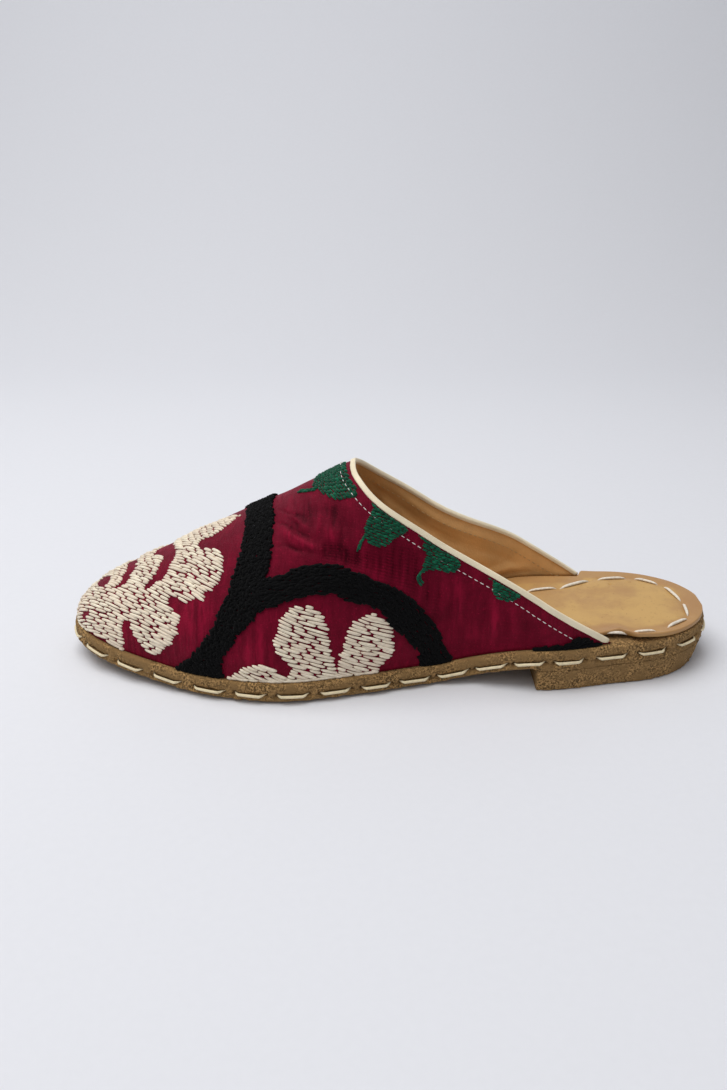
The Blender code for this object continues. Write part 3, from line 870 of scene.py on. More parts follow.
def twisted_thread(name, rgb, roughness, ply, rib=0.5):
    """Thread twisted from a few plies: waxed linen round the sole, cotton in the machine seams.

    The plies show as slanting ribs with painted shade in the grooves between them, and handling leaves
    small darker spots.
    """
    material, tree, surface, place = start_material(name, roughness, Specular_IOR_Level=0.35)
    strand = add_node(tree, "UVMap", {}, uv_map="measured").outputs[0]
    twist = twisted_ribs(tree, strand, ply, 0.4)
    dye(tree, surface, [
        (mottle(tree, place, 2.4 * MM, 0.45, 0.75), rgb, tinted(rgb, 0.78)),
        # Painted shade in the grooves between the plies.
        ((twist, rib - 1.2, 0.4), tinted(rgb, 0.72), None),
    ])
    relief(tree, surface, place, [(twist, rib, 0.2 * MM), (0.5 * MM, 0.3, 0.1 * MM)])
    return material


def studio_paper():
    """Matt seamless paper, cool white."""
    material, tree, surface, place = start_material("studio_paper", 0.9, Specular_IOR_Level=0.1)
    tooth = add_node(tree, "TexNoise", {
        "Vector": place, "Scale": 1 / (3 * MM), "Detail": 2.0, "Roughness": CLOUD_ROUGHNESS,
    }).outputs["Fac"]
    dye(tree, surface, [(tooth, linear("E2E3E8"), linear("E5E6EB"))])
    return material


# Mesh steps of the upper: rows before and after half way back, and columns.
SKIN_ROWS = (60, 190)
SKIN_COLUMNS = 184
LINING_ROWS = (50, 100)
LINING_COLUMNS = 150
FINE_FROM = 0.5
# Radius of the quarter turn that spaces the rows evenly over the toe.
MERIDIAN_BEND = 0.030
CLOTH_THICKNESS = 0.0004
# The lining's troughs level off at this depth in millimetres.
LINING_TROUGH = 0.3
# The tone attribute of level cloth, and the height over which it runs from 0 to 1; the cloth
# turns it into painted shade in the troughs and a painted highlight on the ridges.
LEVEL_TONE = 0.62
FOLD_SHADE_RANGE = 0.0014


def meridian(u, around, depth):
    """Share at u (0 toe tip, 1 topline), stepped evenly over the rounded toe."""
    start = (UPPER_TIP_INSET + depth) / SOLE_LENGTH
    reach = topline_share(around) * SOLE_LENGTH - UPPER_TIP_INSET - depth
    travel = u * (MERIDIAN_BEND * (np.pi / 2 - 1) + reach)
    turn = np.clip(travel / MERIDIAN_BEND, 0, np.pi / 2)
    distance = MERIDIAN_BEND * (1 - np.cos(turn)) + travel - MERIDIAN_BEND * turn
    return start + distance / SOLE_LENGTH


def shell_mesh(name, rows, columns, height, inward):
    """The upper's skin: rows from toe tip to topline, columns from sole line to sole line.

    A point lies a height along the normal from the last. All rows start at one pole, and
    the rows of the back half, where the pleats are, lie closer.
    """
    around = np.linspace(-1, 1, columns + 1)
    front, back = np.linspace(0, FINE_FROM, rows[0] + 1), np.linspace(FINE_FROM, 1, rows[1] + 1)
    u = np.concatenate([front[1:], back[1:]])
    rows = len(u)
    share = meridian(u[:, None], around[None, :], 0.0)
    travel = travel_from_share(share)
    around = np.broadcast_to(around[None, :], share.shape)
    base = last_surface(share, around, 0.0)
    normal = surface_normal(travel, around)
    points = base + normal * height(travel, around)[..., None]
    pole = last_surface(UPPER_TIP_INSET / SOLE_LENGTH, 0.0, 0.0)
    pole = pole + np.array([-1.0, 0, 0]) * height(np.zeros((1, 1)), np.zeros((1, 1)))[0, 0]
    quads = grid_quads(rows, columns + 1)[:, ::-1] + 1
    first = np.arange(1, columns + 1)
    fan = np.stack([np.zeros(columns, int), first, first + 1], axis=-1)
    if inward:
        quads = quads[:, ::-1]
        fan = fan[:, ::-1]
    distance = CHART.distance(travel, around)
    uv = np.stack([travel, distance], axis=-1).reshape(-1, 2)
    uv = np.concatenate([[[0, 0]], uv])
    # The folds' height as tone, which the cloth paints as shade in the troughs and highlight on the ridges.
    tone = np.clip(LEVEL_TONE + skin_relief(travel, around) / FOLD_SHADE_RANGE, 0, 1)
    tone = np.concatenate([[0.5], tone.ravel()])
    points = np.concatenate([[pole], points.reshape(-1, 3)])
    return make_mesh(name, points, [quads, fan], uv, tone)


def thicken(piece, thickness):
    """Gives a skin its wall, away from its face."""
    wall = piece.modifiers.new("wall", "SOLIDIFY")
    wall.thickness = thickness
    wall.offset = -1
    wall.use_even_offset = False


# The lining's folds, charted from the inner sole line in millimetres.
LINING_FOLDS = (
    (1.2, -0.85, ((146, 70), (154, 57), (171, 42), (190, 27), (206, 15), (218, 6))),
    (1.8, 0.75, ((150, 73), (158, 61), (175, 46), (194, 31), (210, 18))),
    (2.6, 0.9, ((150, 55), (166, 40), (186, 24), (202, 12))),
    (1.5, 1.6, ((178, 7.4), (194, 6.8), (208, 6.2), (222, 5.2))),
    (1.0, -0.7, ((188, 3.4), (204, 3.0), (220, 2.6), (232, 2.0))),
    (3.5, -0.5, ((168, 26), (173, 14), (172, 6))),
    (3.0, -0.4, ((184, 18), (188, 11), (187, 6))),
)


def lining_height(travel, around):
    """The lining's visible face lies the wall's thickness in, with its folds towards the foot."""
    distance = CHART.distance(travel, around)
    whole = np.interp(travel, CHART.travel, CHART.whole)
    inner = np.stack([travel, whole - distance], axis=-1).reshape(-1, 2) / MM
    outer = np.stack([travel, distance], axis=-1).reshape(-1, 2) / MM
    fold = fold_height(inner, LINING_FOLDS) + 0.8 * fold_height(outer, LINING_FOLDS[:3])
    fold = fold.reshape(np.shape(distance))
    fold = fold + 0.25 * waves(travel / MM, distance / MM, 23, 8, 30.0, 11.0)
    fold = np.where(fold < 0, LINING_TROUGH * np.tanh(fold / LINING_TROUGH), fold)
    edge = smooth_step(np.minimum(distance, whole - distance) / (1.5 * MM))
    cloth = np.minimum(skin_relief(travel, around) + 0.1 * MM, 0)
    open_out = smooth_step(rim_distance(travel, around) / RIM_EASE)
    return -RIM_WALL - (UPPER_WALL - RIM_WALL + fold * edge * MM) * open_out + cloth


class MULE_OT_upper(bpy.types.Operator):
    """Drape the cloth over the last and line it with leather"""

    bl_idname = "mule.upper"
    bl_label = "Upper"

    def execute(self, context):
        mesh = shell_mesh("upper_cloth", SKIN_ROWS, SKIN_COLUMNS, skin_relief, False)
        cloth = add_piece(mesh, wine_cotton(), ("upper",))
        thicken(cloth, CLOTH_THICKNESS)
        mesh = shell_mesh("upper_lining", LINING_ROWS, LINING_COLUMNS, lining_height, True)
        leather = soft_leather("tan_lining", colour("lining"), 0.62, 0.7 * MM, 0.8, 0.05)
        lining = add_piece(mesh, leather)
        thicken(lining, CLOTH_THICKNESS)
        return {"FINISHED"}


# Outlines of the embroidery, charted in millimetres. A point is (travel, distance
# from the sole line) on the outer side, then on the inner side, and the outline crosses
# the ridge between the two lists.
TOE_FLOWER_OUTER = (
    (0, -1), (20, -1), (50.5, -1), (50.5, 13), (53.5, 14), (54, 12), (55, 9), (58, 5.5),
    (60, 3.5), (63, 2.3), (66, 3.5), (68.5, 6), (70, 8.5), (72.5, 9), (73.5, 13), (75.5, 15),
    (75, 18), (77, 21), (74, 23), (70.5, 25.5), (70.5, 27.5), (72, 28.5), (77, 27), (80, 28),
    (82, 30), (86, 29), (85.5, 33), (89, 34), (91.5, 38), (93, 42), (92.5, 45), (93, 48),
    (91, 52), (87.5, 53.5), (83, 53.5), (80, 55.5), (80.5, 60.5), (86, 62), (90, 65.5), (93.5, 70),
    (96, 78),
)
TOE_FLOWER_INNER = (
    (98, 80), (97, 72), (93, 65), (86, 60), (80, 58), (77, 54), (79, 50), (84, 48), (89, 44), (91, 39),
    (89, 34), (84, 31), (78, 30), (73, 31), (69, 29), (67, 25), (71, 21), (74, 17), (74, 12),
    (70, 8), (64, 6), (59, 8), (55, 12), (50, 13), (47, 9), (46, 4), (46, -1), (20, -1), (0, -1),
)
TOE_HOLES = (
    # outer points, inner points
    (((30.5, 23.6), (27.5, 30.4), (32.5, 32.0), (37.6, 32.2), (38.6, 29.4), (38.0, 26.2), (35.5, 23.8),
      (32.5, 22.8)), ()),
    (((46, 44), (47, 38), (46, 32), (45, 27), (44, 25.5), (46, 26.5), (49, 29.5), (50.5, 35), (52, 42)),
     ((50.5, 41), (50.5, 34), (51, 28), (52.5, 22), (50, 21), (46.5, 25), (44.5, 31), (43.5, 37))),
    (((60.5, 51), (64.5, 50), (65, 47), (64, 43), (63.5, 38), (61, 34), (59.5, 30), (60, 28.5), (62, 31),
      (66, 35), (68.5, 40), (70, 47), (70.5, 53)),
     ((67.5, 52), (66, 44), (66, 37), (67, 31), (65, 28), (62, 33), (60, 40), (59, 48))),
    (((20.5, 4.5), (22, 6.5), (25, 8), (27.5, 9.5), (28, 8), (26, 6.5), (25, 4.5), (22.5, 4)), ()),
)
FRONT_BAND = (
    ((75, -1), (79, 5), (83, 10), (87, 15), (90, 20), (92, 25), (94, 30), (95.5, 33), (97, 38),
     (98.5, 45), (100, 52), (101, 60), (101, 66)),
    ((100, 70), (99, 60), (96, 50), (93, 40), (90, 30), (87, 20), (84, 10), (80, -1), (94, -1),
     (97, 8), (100, 18), (103, 28), (106, 38), (108, 48), (110, 58), (111, 68)),
    ((111, 78), (112, 70), (112.5, 60), (112, 50), (111, 44), (110, 40), (109, 34), (107, 27),
     (103, 22), (100, 19), (98, 16), (96, 13), (93.5, 9), (92.5, 5), (92, -1)),
)
FRONT_GUIDE = (
    ((84, 0), (92, 15), (100, 30), (105, 50), (106, 70)),
    ((105, 66), (100, 40), (92, 12), (88, 0)),
)
ARCH_BAND = (
    (108, 39), (112, 41), (118, 43), (123, 45), (130, 45.5), (137, 45), (141, 43.5), (146, 41.5), (151, 39),
    (156, 36.5), (161, 33.5), (165, 30.5), (168, 28), (171, 24), (174, 20), (177, 15), (179, 10),
    (181, 5), (183, -1), (171.5, -1), (170, 6), (167, 10), (164, 14), (161, 17), (158, 21),
    (156, 24), (153, 27), (147, 29.5), (141, 31.5), (138, 34), (133, 34.5), (125, 34), (120, 33),
    (115, 30.5), (110, 29), (107, 28),
)
ARCH_GUIDE = (
    (106, 33), (115, 36.5), (125, 39.5), (136, 39.5), (147, 35), (156, 29.5), (164, 22), (171, 12),
    (177, 0),
)
BACK_GUIDE = ((216, 0), (240, 3))
BACK_WEDGE = (
    (217, -1), (218, 0.8), (222, 1.4), (228, 2.2), (232, 4), (234, 4.4), (237, 2.6), (242, -1),
)
PETAL_FRONT = (
    (119, -1), (120, 5), (119, 8), (117, 10), (115, 12), (113.5, 14.5), (113.8, 18), (115, 22),
    (115.5, 25), (118, 27), (120, 30), (123, 30.8), (127, 30), (130, 28.5), (132, 26), (133.5, 23),
    (134.5, 20), (135, 16), (135.3, 13), (136, 9), (137, 6), (137.4, 3), (137.4, -1),
)
PETAL_BACK = (
    (137.7, -1), (138, 4), (138.5, 8), (139.5, 11), (141, 14), (141.5, 18), (143.5, 21.5),
    (146, 23), (148, 24.5), (151, 25), (154, 23.5), (157, 20.5), (159.5, 17), (160, 12), (160, 8),
    (158.5, 5.5), (155, 3), (152, -1),
)
LOW_LEAF = (
    (95, -1), (98, 2.5), (101, 5), (104, 6.5), (107, 7.5), (111, 6.5), (113, 5), (116, 3.5),
    (118, 2), (119, -1),
)
GREEN_LEAVES = (
    ((150, 62), (152, 66), (155, 68.5), (158, 65.5), (162, 61.5), (165, 58), (164.5, 55.5),
     (162, 54), (159.5, 53), (158, 51), (155, 51), (152, 52), (149.5, 54), (148.5, 57), (149, 60)),
    ((171.5, 51.5), (173, 54), (175.5, 53), (178, 51), (182, 48.5), (185.5, 45.5), (186.5, 43), (185.5, 40),
     (184.5, 38), (182, 37.5), (179, 38), (176, 39.5), (173, 40), (171, 39.5), (171.5, 43),
     (172.5, 46), (171, 49)),
    ((199.5, 31.5), (201.5, 33), (204, 31.2), (207, 28.5), (209.5, 26), (208.5, 23), (205, 21.5),
     (202, 22.5), (199.5, 24.5), (198.5, 28)),
)
THROAT_LEAF = (
    ((128, 79), (128.5, 81), (131, 77), (134, 74), (137, 71.5), (141, 71), (144.5, 71.5),
     (146, 73), (144, 77), (142, 82), (141, 88)),
    ((141, 88), (141, 82), (139, 78), (136, 76), (132, 77), (129, 81)),
)
GREEN_STEMS = (
    ((129.5, 79), (126, 80), (122, 82)),
    ((149, 56), (147, 53), (146, 50)),
    ((172, 40.5), (169.5, 39), (169.3, 36.5), (171, 34.5)),
)
# Directions of the rows in degrees: cream at the toe and on the side, then green.
TOE_ROWS = -48.0
SIDE_ROWS = -22.0
THROAT_ROWS = -62.0
LEAF_ROWS = -28.0
# Distance from the flat pattern's apex to the toe, and how far hand-laid rows wander.
FLAT_APEX = 0.020
ROW_BEND = 0.0006
# Stitches end this far from the topline, under the binding's edge, and from the sole line.
RIM_KEEP = 0.0021
SOLE_KEEP = 0.00035
# Cream rows: step of the stitch ends from row to row as a share of a stitch, how far row
# ends stray, and how far a stitch falls short of its marks or passes them.
CREAM_STEP = -0.42
CREAM_RAGGED = 0.7 * MM
CREAM_OVERLAP = (-0.75 * MM, 0.25 * MM)
# Black tufts: spacing, length and turn off the guide line in radians, for the curls of the
# front band and for the side bands. Then the yarn's width and height, and its overlap.
FRONT_TUFTS = (1.2 * MM, 2.2 * MM, 1.5)
SIDE_TUFTS = (1.32 * MM, 3.4 * MM, 0.35)
BLACK_YARN = (1.35 * MM, 1.5 * MM)
BLACK_OVERLAP = (0.0, 0.2 * MM)
# Green rows: spacing, length and step of the stitches, then stray, yarn and overlap, and
# how far a stem's two strands lie from its line.
GREEN_ROWS = (0.95 * MM, 2.9 * MM, 1.1 * MM)
GREEN_RAGGED = 0.35 * MM
GREEN_YARN = (1.04 * MM, 0.95 * MM)
GREEN_OVERLAP = (-0.15 * MM, 0.35 * MM)
STEM_OFFSET = 0.4 * MM
# The inner side's motifs: shift along in millimetres, and height as a share of the outer's.
INNER_MOTIFS = (-7.0, 0.94)
INNER_LEAVES = (3.0, 0.92)


def rounded_outline(points, steps=4):
    """Closed smooth curve through an outline's points, as many steps between each two."""
    p = np.asarray(points, float)
    before = np.roll(p, 1, axis=0)[:, None]
    here = p[:, None]
    after = np.roll(p, -1, axis=0)[:, None]
    beyond = np.roll(p, -2, axis=0)[:, None]
    t = (np.arange(steps) / steps)[None, :, None]
    curve = 0.5 * (2 * here + (after - before) * t
                   + (2 * before - 5 * here + 4 * after - beyond) * t**2
                   + (3 * here - before - 3 * after + beyond) * t**3)
    return curve.reshape(-1, 2)


def outer_points(points):
    """Outer-side chart points in millimetres as (travel, distance from the ridge) in metres."""
    p = np.asarray(points, float).reshape(-1, 2) * MM
    return np.stack([p[:, 0], p[:, 1] - np.interp(p[:, 0], CHART.travel, CHART.ridge)], axis=-1)


def inner_points(points):
    p = np.asarray(points, float).reshape(-1, 2) * MM
    half = np.interp(p[:, 0], CHART.travel, CHART.whole - CHART.ridge)
    return np.stack([p[:, 0], half - p[:, 1]], axis=-1)


def to_flat(points):
    """Unrolls the vamp like a cone: radius is the ridge's travel, arcs keep their length."""
    radius = np.interp(points[:, 0], CHART.travel, CHART.ridge_travel) + FLAT_APEX
    angle = points[:, 1] / radius
    return np.stack([radius * np.cos(angle), radius * np.sin(angle)], axis=-1)


def from_flat(points):
    radius = np.linalg.norm(points, axis=-1)
    travel = np.interp(radius - FLAT_APEX, CHART.ridge_travel, CHART.travel)
    return np.stack([travel, radius * np.arctan2(points[..., 1], points[..., 0])], axis=-1)


def to_side(points):
    """Side chart: travel and distance round from the outer sole line."""
    ridge = np.interp(points[:, 0], CHART.travel, CHART.ridge)
    return np.stack([points[:, 0], points[:, 1] + ridge], axis=-1)


def from_side(points):
    ridge = np.interp(points[..., 0], CHART.travel, CHART.ridge)
    return np.stack([points[..., 0], points[..., 1] - ridge], axis=-1)


def fill_rows(loops, angle, spacing, length, shift, random, ragged):
    """Straight stitches in parallel rows that fill an outline, less its holes.

    Each row is cut where it crosses the outline, and again into stitches whose ends step
    along by a shift from row to row, as hand-laid rows do. Returns (stitch, end, 2).
    """
    turn = np.array([[math.cos(angle), -math.sin(angle)], [math.sin(angle), math.cos(angle)]])
    corners = [loop @ turn for loop in loops]
    start = np.concatenate(corners)
    end = np.concatenate([np.roll(c, -1, axis=0) for c in corners])
    found = []
    levels = np.arange(start[:, 1].min() + 0.4 * spacing, start[:, 1].max(), spacing)
    for number, level in enumerate(levels):
        over = (start[:, 1] > level) != (end[:, 1] > level)
        part = (level - start[over, 1]) / (end[over, 1] - start[over, 1])
        crossing = np.sort(start[over, 0] + part * (end[over, 0] - start[over, 0]))
        for left, right in zip(crossing[::2], crossing[1::2]):
            if right - left < 0.9 * spacing:
                continue
            first = (number * shift) % length
            cuts = np.arange(math.floor(left / length) * length + first - length, right, length)
            cuts = cuts + random.uniform(-0.2, 0.2, len(cuts)) * length
            cuts = cuts[(cuts > left + 0.4 * length) & (cuts < right - 0.4 * length)]
            left = left + random.uniform(-ragged, ragged * 0.3)
            right = right + random.uniform(-ragged * 0.3, ragged)
            marks = np.concatenate([[left], cuts, [right]])
            rows = np.full(len(marks) - 1, level) + random.uniform(-0.1, 0.1, len(marks) - 1) * spacing
            tilt = random.uniform(-0.14, 0.14, len(marks) - 1) * spacing
            found.append(np.stack([marks[:-1], rows - tilt, marks[1:], rows + tilt], axis=-1))
    ends = np.concatenate(found).reshape(-1, 2, 2)
    ends[..., 1] += ROW_BEND * waves(ends[..., 0] / MM, ends[..., 1] / MM, 17, 6, 26.0, 12.0)
    return ends @ turn.T


def inside_loop(places, loop):
    """Whether each place lies inside a closed outline, by counting crossings."""
    end = np.roll(loop, -1, axis=0)
    x, y = places[:, :1], places[:, 1:]
    over = (loop[:, 1] > y) != (end[:, 1] > y)
    rise_of = np.where(end[:, 1] == loop[:, 1], 1.0, end[:, 1] - loop[:, 1])
    crossing = loop[:, 0] + (y - loop[:, 1]) / rise_of * (end[:, 0] - loop[:, 0])
    return ((over & (x < crossing)).sum(axis=1) % 2) == 1


def tufts(loop, guide, spacing, length, wander, random):
    """Short stitches scattered evenly inside an outline, turned along a guide line.

    They stand on a staggered grid of the given spacing, each moved a little and turned by
    up to the wander in radians. Returns (stitch, end, 2).
    """
    low = loop.min(axis=0)
    high = loop.max(axis=0)
    x, y = np.meshgrid(np.arange(low[0], high[0], spacing), np.arange(low[1], high[1], 0.87 * spacing))
    x = x + 0.5 * spacing * (np.arange(len(x)) % 2)[:, None]
    places = np.stack([x.ravel(), y.ravel()], axis=-1)
    places = places + random.uniform(-0.32, 0.32, places.shape) * spacing
    places = places[inside_loop(places, loop)]
    guide = np.asarray(guide, float)
    step = np.diff(guide, axis=0)
    middle_of = 0.5 * (guide[1:] + guide[:-1])
    weight = 1 / (np.linalg.norm(places[:, None] - middle_of, axis=-1) ** 3 + 1e-12)
    heading = (unit(step)[None] * weight[..., None]).sum(axis=1)
    angle = np.arctan2(heading[:, 1], heading[:, 0]) + random.uniform(-wander, wander, len(places))
    half = 0.5 * length * random.uniform(0.75, 1.2, (len(places), 1))
    reach = half * np.stack([np.cos(angle), np.sin(angle)], axis=-1)
    return np.stack([places - reach, places + reach], axis=1)


def lay_stitches(ends, back_to_chart, width, height, rings, random, overlap):
    """Stitches over the cloth: each end dives in, the middle lies level over the cloth."""
    t = 0.5 - 0.5 * np.cos(np.linspace(0, np.pi, rings))
    size = np.maximum(np.linalg.norm(ends[:, 1] - ends[:, 0], axis=-1), 0.8 * MM)
    pull = random.uniform(*overlap, (2, len(ends), 1)) / size[:, None]
    start = ends[:, 0] - (ends[:, 1] - ends[:, 0]) * pull[0]
    finish = ends[:, 1] + (ends[:, 1] - ends[:, 0]) * pull[1]
    flat = start[:, None] + (finish - start)[:, None] * t[None, :, None]
    chart = back_to_chart(flat)
    travel = np.clip(chart[..., 0], 0.2 * MM, None)
    ridge = np.interp(travel, CHART.travel, CHART.ridge)
    whole = np.interp(travel, CHART.travel, CHART.whole)
    distance = np.clip(chart[..., 1] + ridge, SOLE_KEEP, whole - SOLE_KEEP)
    around = CHART.turn(travel, distance)
    over = np.clip(RIM_KEEP - rim_distance(travel, around), 0, None)
    travel = travel - over * rim_slant(around)
    around = CHART.turn(travel, distance)
    swell = np.clip(1 - np.abs(2 * t - 1) ** 5, 0.02, 1) ** 0.5
    tucked = over.max(axis=1) > 1.6 * MM
    size = random.uniform(0.84, 1.18, len(ends))
    top = random.uniform(0.8, 1.2, len(ends))
    half_up = 0.5 * height * swell[None] * top[:, None]
    lift = 0.45 * height * top[:, None] * (1 - np.abs(2 * t - 1) ** 4)[None] - 0.15 * height
    lift = lift - 0.6 * MM * tucked[:, None]
    centres, normals = skin_point(travel, around, lift)
    half_across = 0.5 * width * swell[None] * size[:, None]
    return centres, normals, half_across, half_up


def embroider(name, material, parts, width, height, rings, random, overlap):
    """One joined piece from several filled parts: (stitch ends, way back to the chart)."""
    laid = [lay_stitches(ends, back, width, height, rings, random, overlap) for ends, back in parts]
    centres, normals, across, up = (np.concatenate(group) for group in zip(*laid))
    tone = random.uniform(0, 1, len(centres))
    points, faces, uv, tones = tubes(centres, normals, across, up, 6, tone)
    mesh = make_mesh(name, points, faces, uv, tones)
    return add_piece(mesh, material)


def toe_flower_loops():
    outline = np.concatenate([outer_points(TOE_FLOWER_OUTER), inner_points(TOE_FLOWER_INNER)])
    loops = [to_flat(outline)]
    for outer, inner in TOE_HOLES:
        hole = np.concatenate([outer_points(outer), inner_points(inner)])
        loops.append(rounded_outline(to_flat(hole)))
    return loops


def mirrored(points, shift, squash):
    """The same motif for the inner side, moved along and a little shorter."""
    return [(a + shift, b * squash) for a, b in points]


def side_loop(points, inner=None):
    """Outline on the outer side, or on the inner side with its motifs' shift and squash."""
    place = inner_points(mirrored(points, *inner)) if inner else outer_points(points)
    return rounded_outline(to_side(place))


class MULE_OT_cream_embroidery(bpy.types.Operator):
    """Fill the flower at the toe and the petals with rows of cream yarn"""

    bl_idname = "mule.cream_embroidery"
    bl_label = "Cream embroidery"

    def execute(self, context):
        s = sizes()
        random = np.random.default_rng(5)
        rows = (s.row_spacing, s.yarn_stitch, CREAM_STEP * s.yarn_stitch, random, CREAM_RAGGED)
        parts = [(fill_rows(toe_flower_loops(), math.radians(TOE_ROWS), *rows), from_flat)]
        for motif in (PETAL_FRONT, PETAL_BACK, LOW_LEAF):
            for inner, angle in ((None, SIDE_ROWS), (INNER_MOTIFS, -SIDE_ROWS)):
                ends = fill_rows([side_loop(motif, inner)], math.radians(angle), *rows)
                parts.append((ends, from_side))
        wool = wool_yarn("cream_wool", colour("cream"), 0.78, 1.1, 1.6 * MM, 0.3, 0.2)
        embroider("embroidery_cream", wool, parts, s.yarn_width, s.yarn_height, 8, random,
                  CREAM_OVERLAP)
        return {"FINISHED"}


class MULE_OT_black_embroidery(bpy.types.Operator):
    """Fill the bands with short tufts of black yarn"""

    bl_idname = "mule.black_embroidery"
    bl_label = "Black embroidery"

    def execute(self, context):
        random = np.random.default_rng(6)
        near, far, back = FRONT_BAND
        front = np.concatenate([outer_points(near), inner_points(far), outer_points(back)])
        guide = np.concatenate([outer_points(FRONT_GUIDE[0]), inner_points(FRONT_GUIDE[1])])
        loop = rounded_outline(to_flat(front))
        curls = [(tufts(loop, to_flat(guide), *FRONT_TUFTS, random), from_flat)]
        inner_band, inner_guide = (mirrored(part, *INNER_MOTIFS) for part in (ARCH_BAND, ARCH_GUIDE))
        for band, line, place in (
                (ARCH_BAND, ARCH_GUIDE, outer_points),
                (BACK_WEDGE, BACK_GUIDE, outer_points),
                (inner_band, inner_guide, inner_points)):
            loop = rounded_outline(to_side(place(band)))
            guide = to_side(place(line))
            curls.append((tufts(loop, guide, *SIDE_TUFTS, random), from_side))
        wool = wool_yarn("black_wool", colour("black"), 0.5, 1.5, 0.8 * MM, 0.8, 0.02)
        embroider("embroidery_black", wool, curls, *BLACK_YARN, 5, random, BLACK_OVERLAP)
        return {"FINISHED"}


class MULE_OT_green_embroidery(bpy.types.Operator):
    """Fill the collar's leaves and their stems with short green stitches"""

    bl_idname = "mule.green_embroidery"
    bl_label = "Green embroidery"

    def execute(self, context):
        random = np.random.default_rng(7)
        rows = (*GREEN_ROWS, random, GREEN_RAGGED)
        throat = np.concatenate([outer_points(THROAT_LEAF[0]), inner_points(THROAT_LEAF[1])])
        loops = [rounded_outline(to_flat(throat))]
        parts = [(fill_rows(loops, math.radians(THROAT_ROWS), *rows), from_flat)]
        for leaf in GREEN_LEAVES:
            for inner, angle in ((None, LEAF_ROWS), (INNER_LEAVES, -LEAF_ROWS)):
                ends = fill_rows([side_loop(leaf, inner)], math.radians(angle), *rows)
                parts.append((ends, from_side))
        for stem in GREEN_STEMS:
            line = np.asarray(stem, float) * MM
            marks = np.linspace(0, 1, 5)
            share = np.linspace(0, 1, len(line))
            path = np.stack([np.interp(marks, share, line[:, k]) for k in (0, 1)], axis=-1)
            for offset in (-STEM_OFFSET, STEM_OFFSET):
                ends = np.stack([path[:-1] + offset, path[1:] + offset], axis=1)
                parts.append((ends, from_side))
        wool = wool_yarn("green_wool", colour("green"), 0.40, 1.65, 0.7 * MM, 0.8, 0.12)
        embroider("embroidery_green", wool, parts, *GREEN_YARN, 5, random, GREEN_OVERLAP)
        return {"FINISHED"}


def surface_step(around, across, depth):
    """Point a distance across the topline, measured along the upper's surface."""
    tiny = 0.002
    limit = np.clip(around, -ROUND_LIMIT, ROUND_LIMIT)
    share = topline_share(around)
    before, after = limit - tiny, limit + tiny
    by_share = last_surface(share + tiny, limit, 0.0) - last_surface(share - tiny, limit, 0.0)
    by_share = by_share / (2 * tiny)
    by_round = (last_surface(share, after, 0.0) - last_surface(share, before, 0.0)) / (2 * tiny)
    ahead = last_surface(topline_share(after), after, 0.0)
    behind = last_surface(topline_share(before), before, 0.0)
    inward = np.cross(unit(ahead - behind), unit(np.cross(by_share, by_round)))
    inward = inward * np.where(inward[..., :1] > 0, -1, 1)
    wanted = inward * np.asarray(across)[..., None]
    a11 = (by_share * by_share).sum(-1)
    a12 = (by_share * by_round).sum(-1)
    a22 = (by_round * by_round).sum(-1)
    b1 = (by_share * wanted).sum(-1)
    b2 = (by_round * wanted).sum(-1)
    det = a11 * a22 - a12 * a12
    new_share = share + (b1 * a22 - b2 * a12) / det
    new_around = np.clip(limit + (a11 * b2 - a12 * b1) / det, -ROUND_LIMIT, ROUND_LIMIT)
    return new_share, new_around, last_surface(new_share, new_around, depth)


BINDING_STEPS = 420
# Widths of the strip's two legs, its thickness and its clearance from the cloth.
BINDING_OUTSIDE = 0.0015
BINDING_INSIDE = 0.0008
BINDING_SKIN = 0.00042
BINDING_CLEAR = 0.0001
# The strip's ends, as shares of the way round from ridge to sole.
BINDING_REACH = 0.993


# The machine seam: distance below the rim in millimetres, and how much more at its ends.
SEAM_DROP = 5.4
SEAM_END_DROP = 0.6
# How much of the pitch a machine stitch covers, and half its width in metres.
SEAM_STITCH = 0.68
SEAM_HALF = 0.19 * MM
SEAM_STATIONS = 3000


def binding_profile():
    """Folded strip's section as (distance across the rim, depth below the skin), closed.

    The outer leg bulges a little, the crest is half an ellipse round the shell's rim, the
    inner leg is narrower, and the inner faces keep a small clearance from cloth and lining.
    """
    outside = -(BINDING_CLEAR + BINDING_SKIN)
    inside = RIM_WALL + BINDING_CLEAR + BINDING_SKIN
    turn = np.linspace(-0.5 * np.pi, 0.5 * np.pi, 13)
    centre = 0.5 * (inside + outside)
    crest = np.stack([-JOIN_GAP - BINDING_THICKNESS * np.cos(turn),
                      centre + (inside - centre) * np.sin(turn)], axis=-1)
    leg = np.array([(1.0, 0.25), (1.0, 0.7), (0.88, 1.0), (0.55, 1.12), (0.2, 1.05)])
    outer = np.stack([leg[:, 0] * BINDING_OUTSIDE, -BINDING_CLEAR - leg[:, 1] * BINDING_SKIN], axis=-1)
    inner = np.stack([leg[::-1, 0] * BINDING_INSIDE,
                      RIM_WALL + BINDING_CLEAR + leg[::-1, 1] * BINDING_SKIN], axis=-1)
    close = 0.2 * BINDING_CLEAR
    lap = np.array([(BINDING_INSIDE, RIM_WALL + close), (0.0, RIM_WALL + close),
                    (0.0, -close), (BINDING_OUTSIDE, -close)])
    return np.concatenate([outer, crest, inner, lap])


def collar_line(across):
    """Points of the line that runs a distance below the rim, with travel and around."""
    around = np.linspace(-BINDING_END, BINDING_END, SEAM_STATIONS)
    share, turn, points = surface_step(around, across, 0.0)
    return travel_from_share(share), turn, points


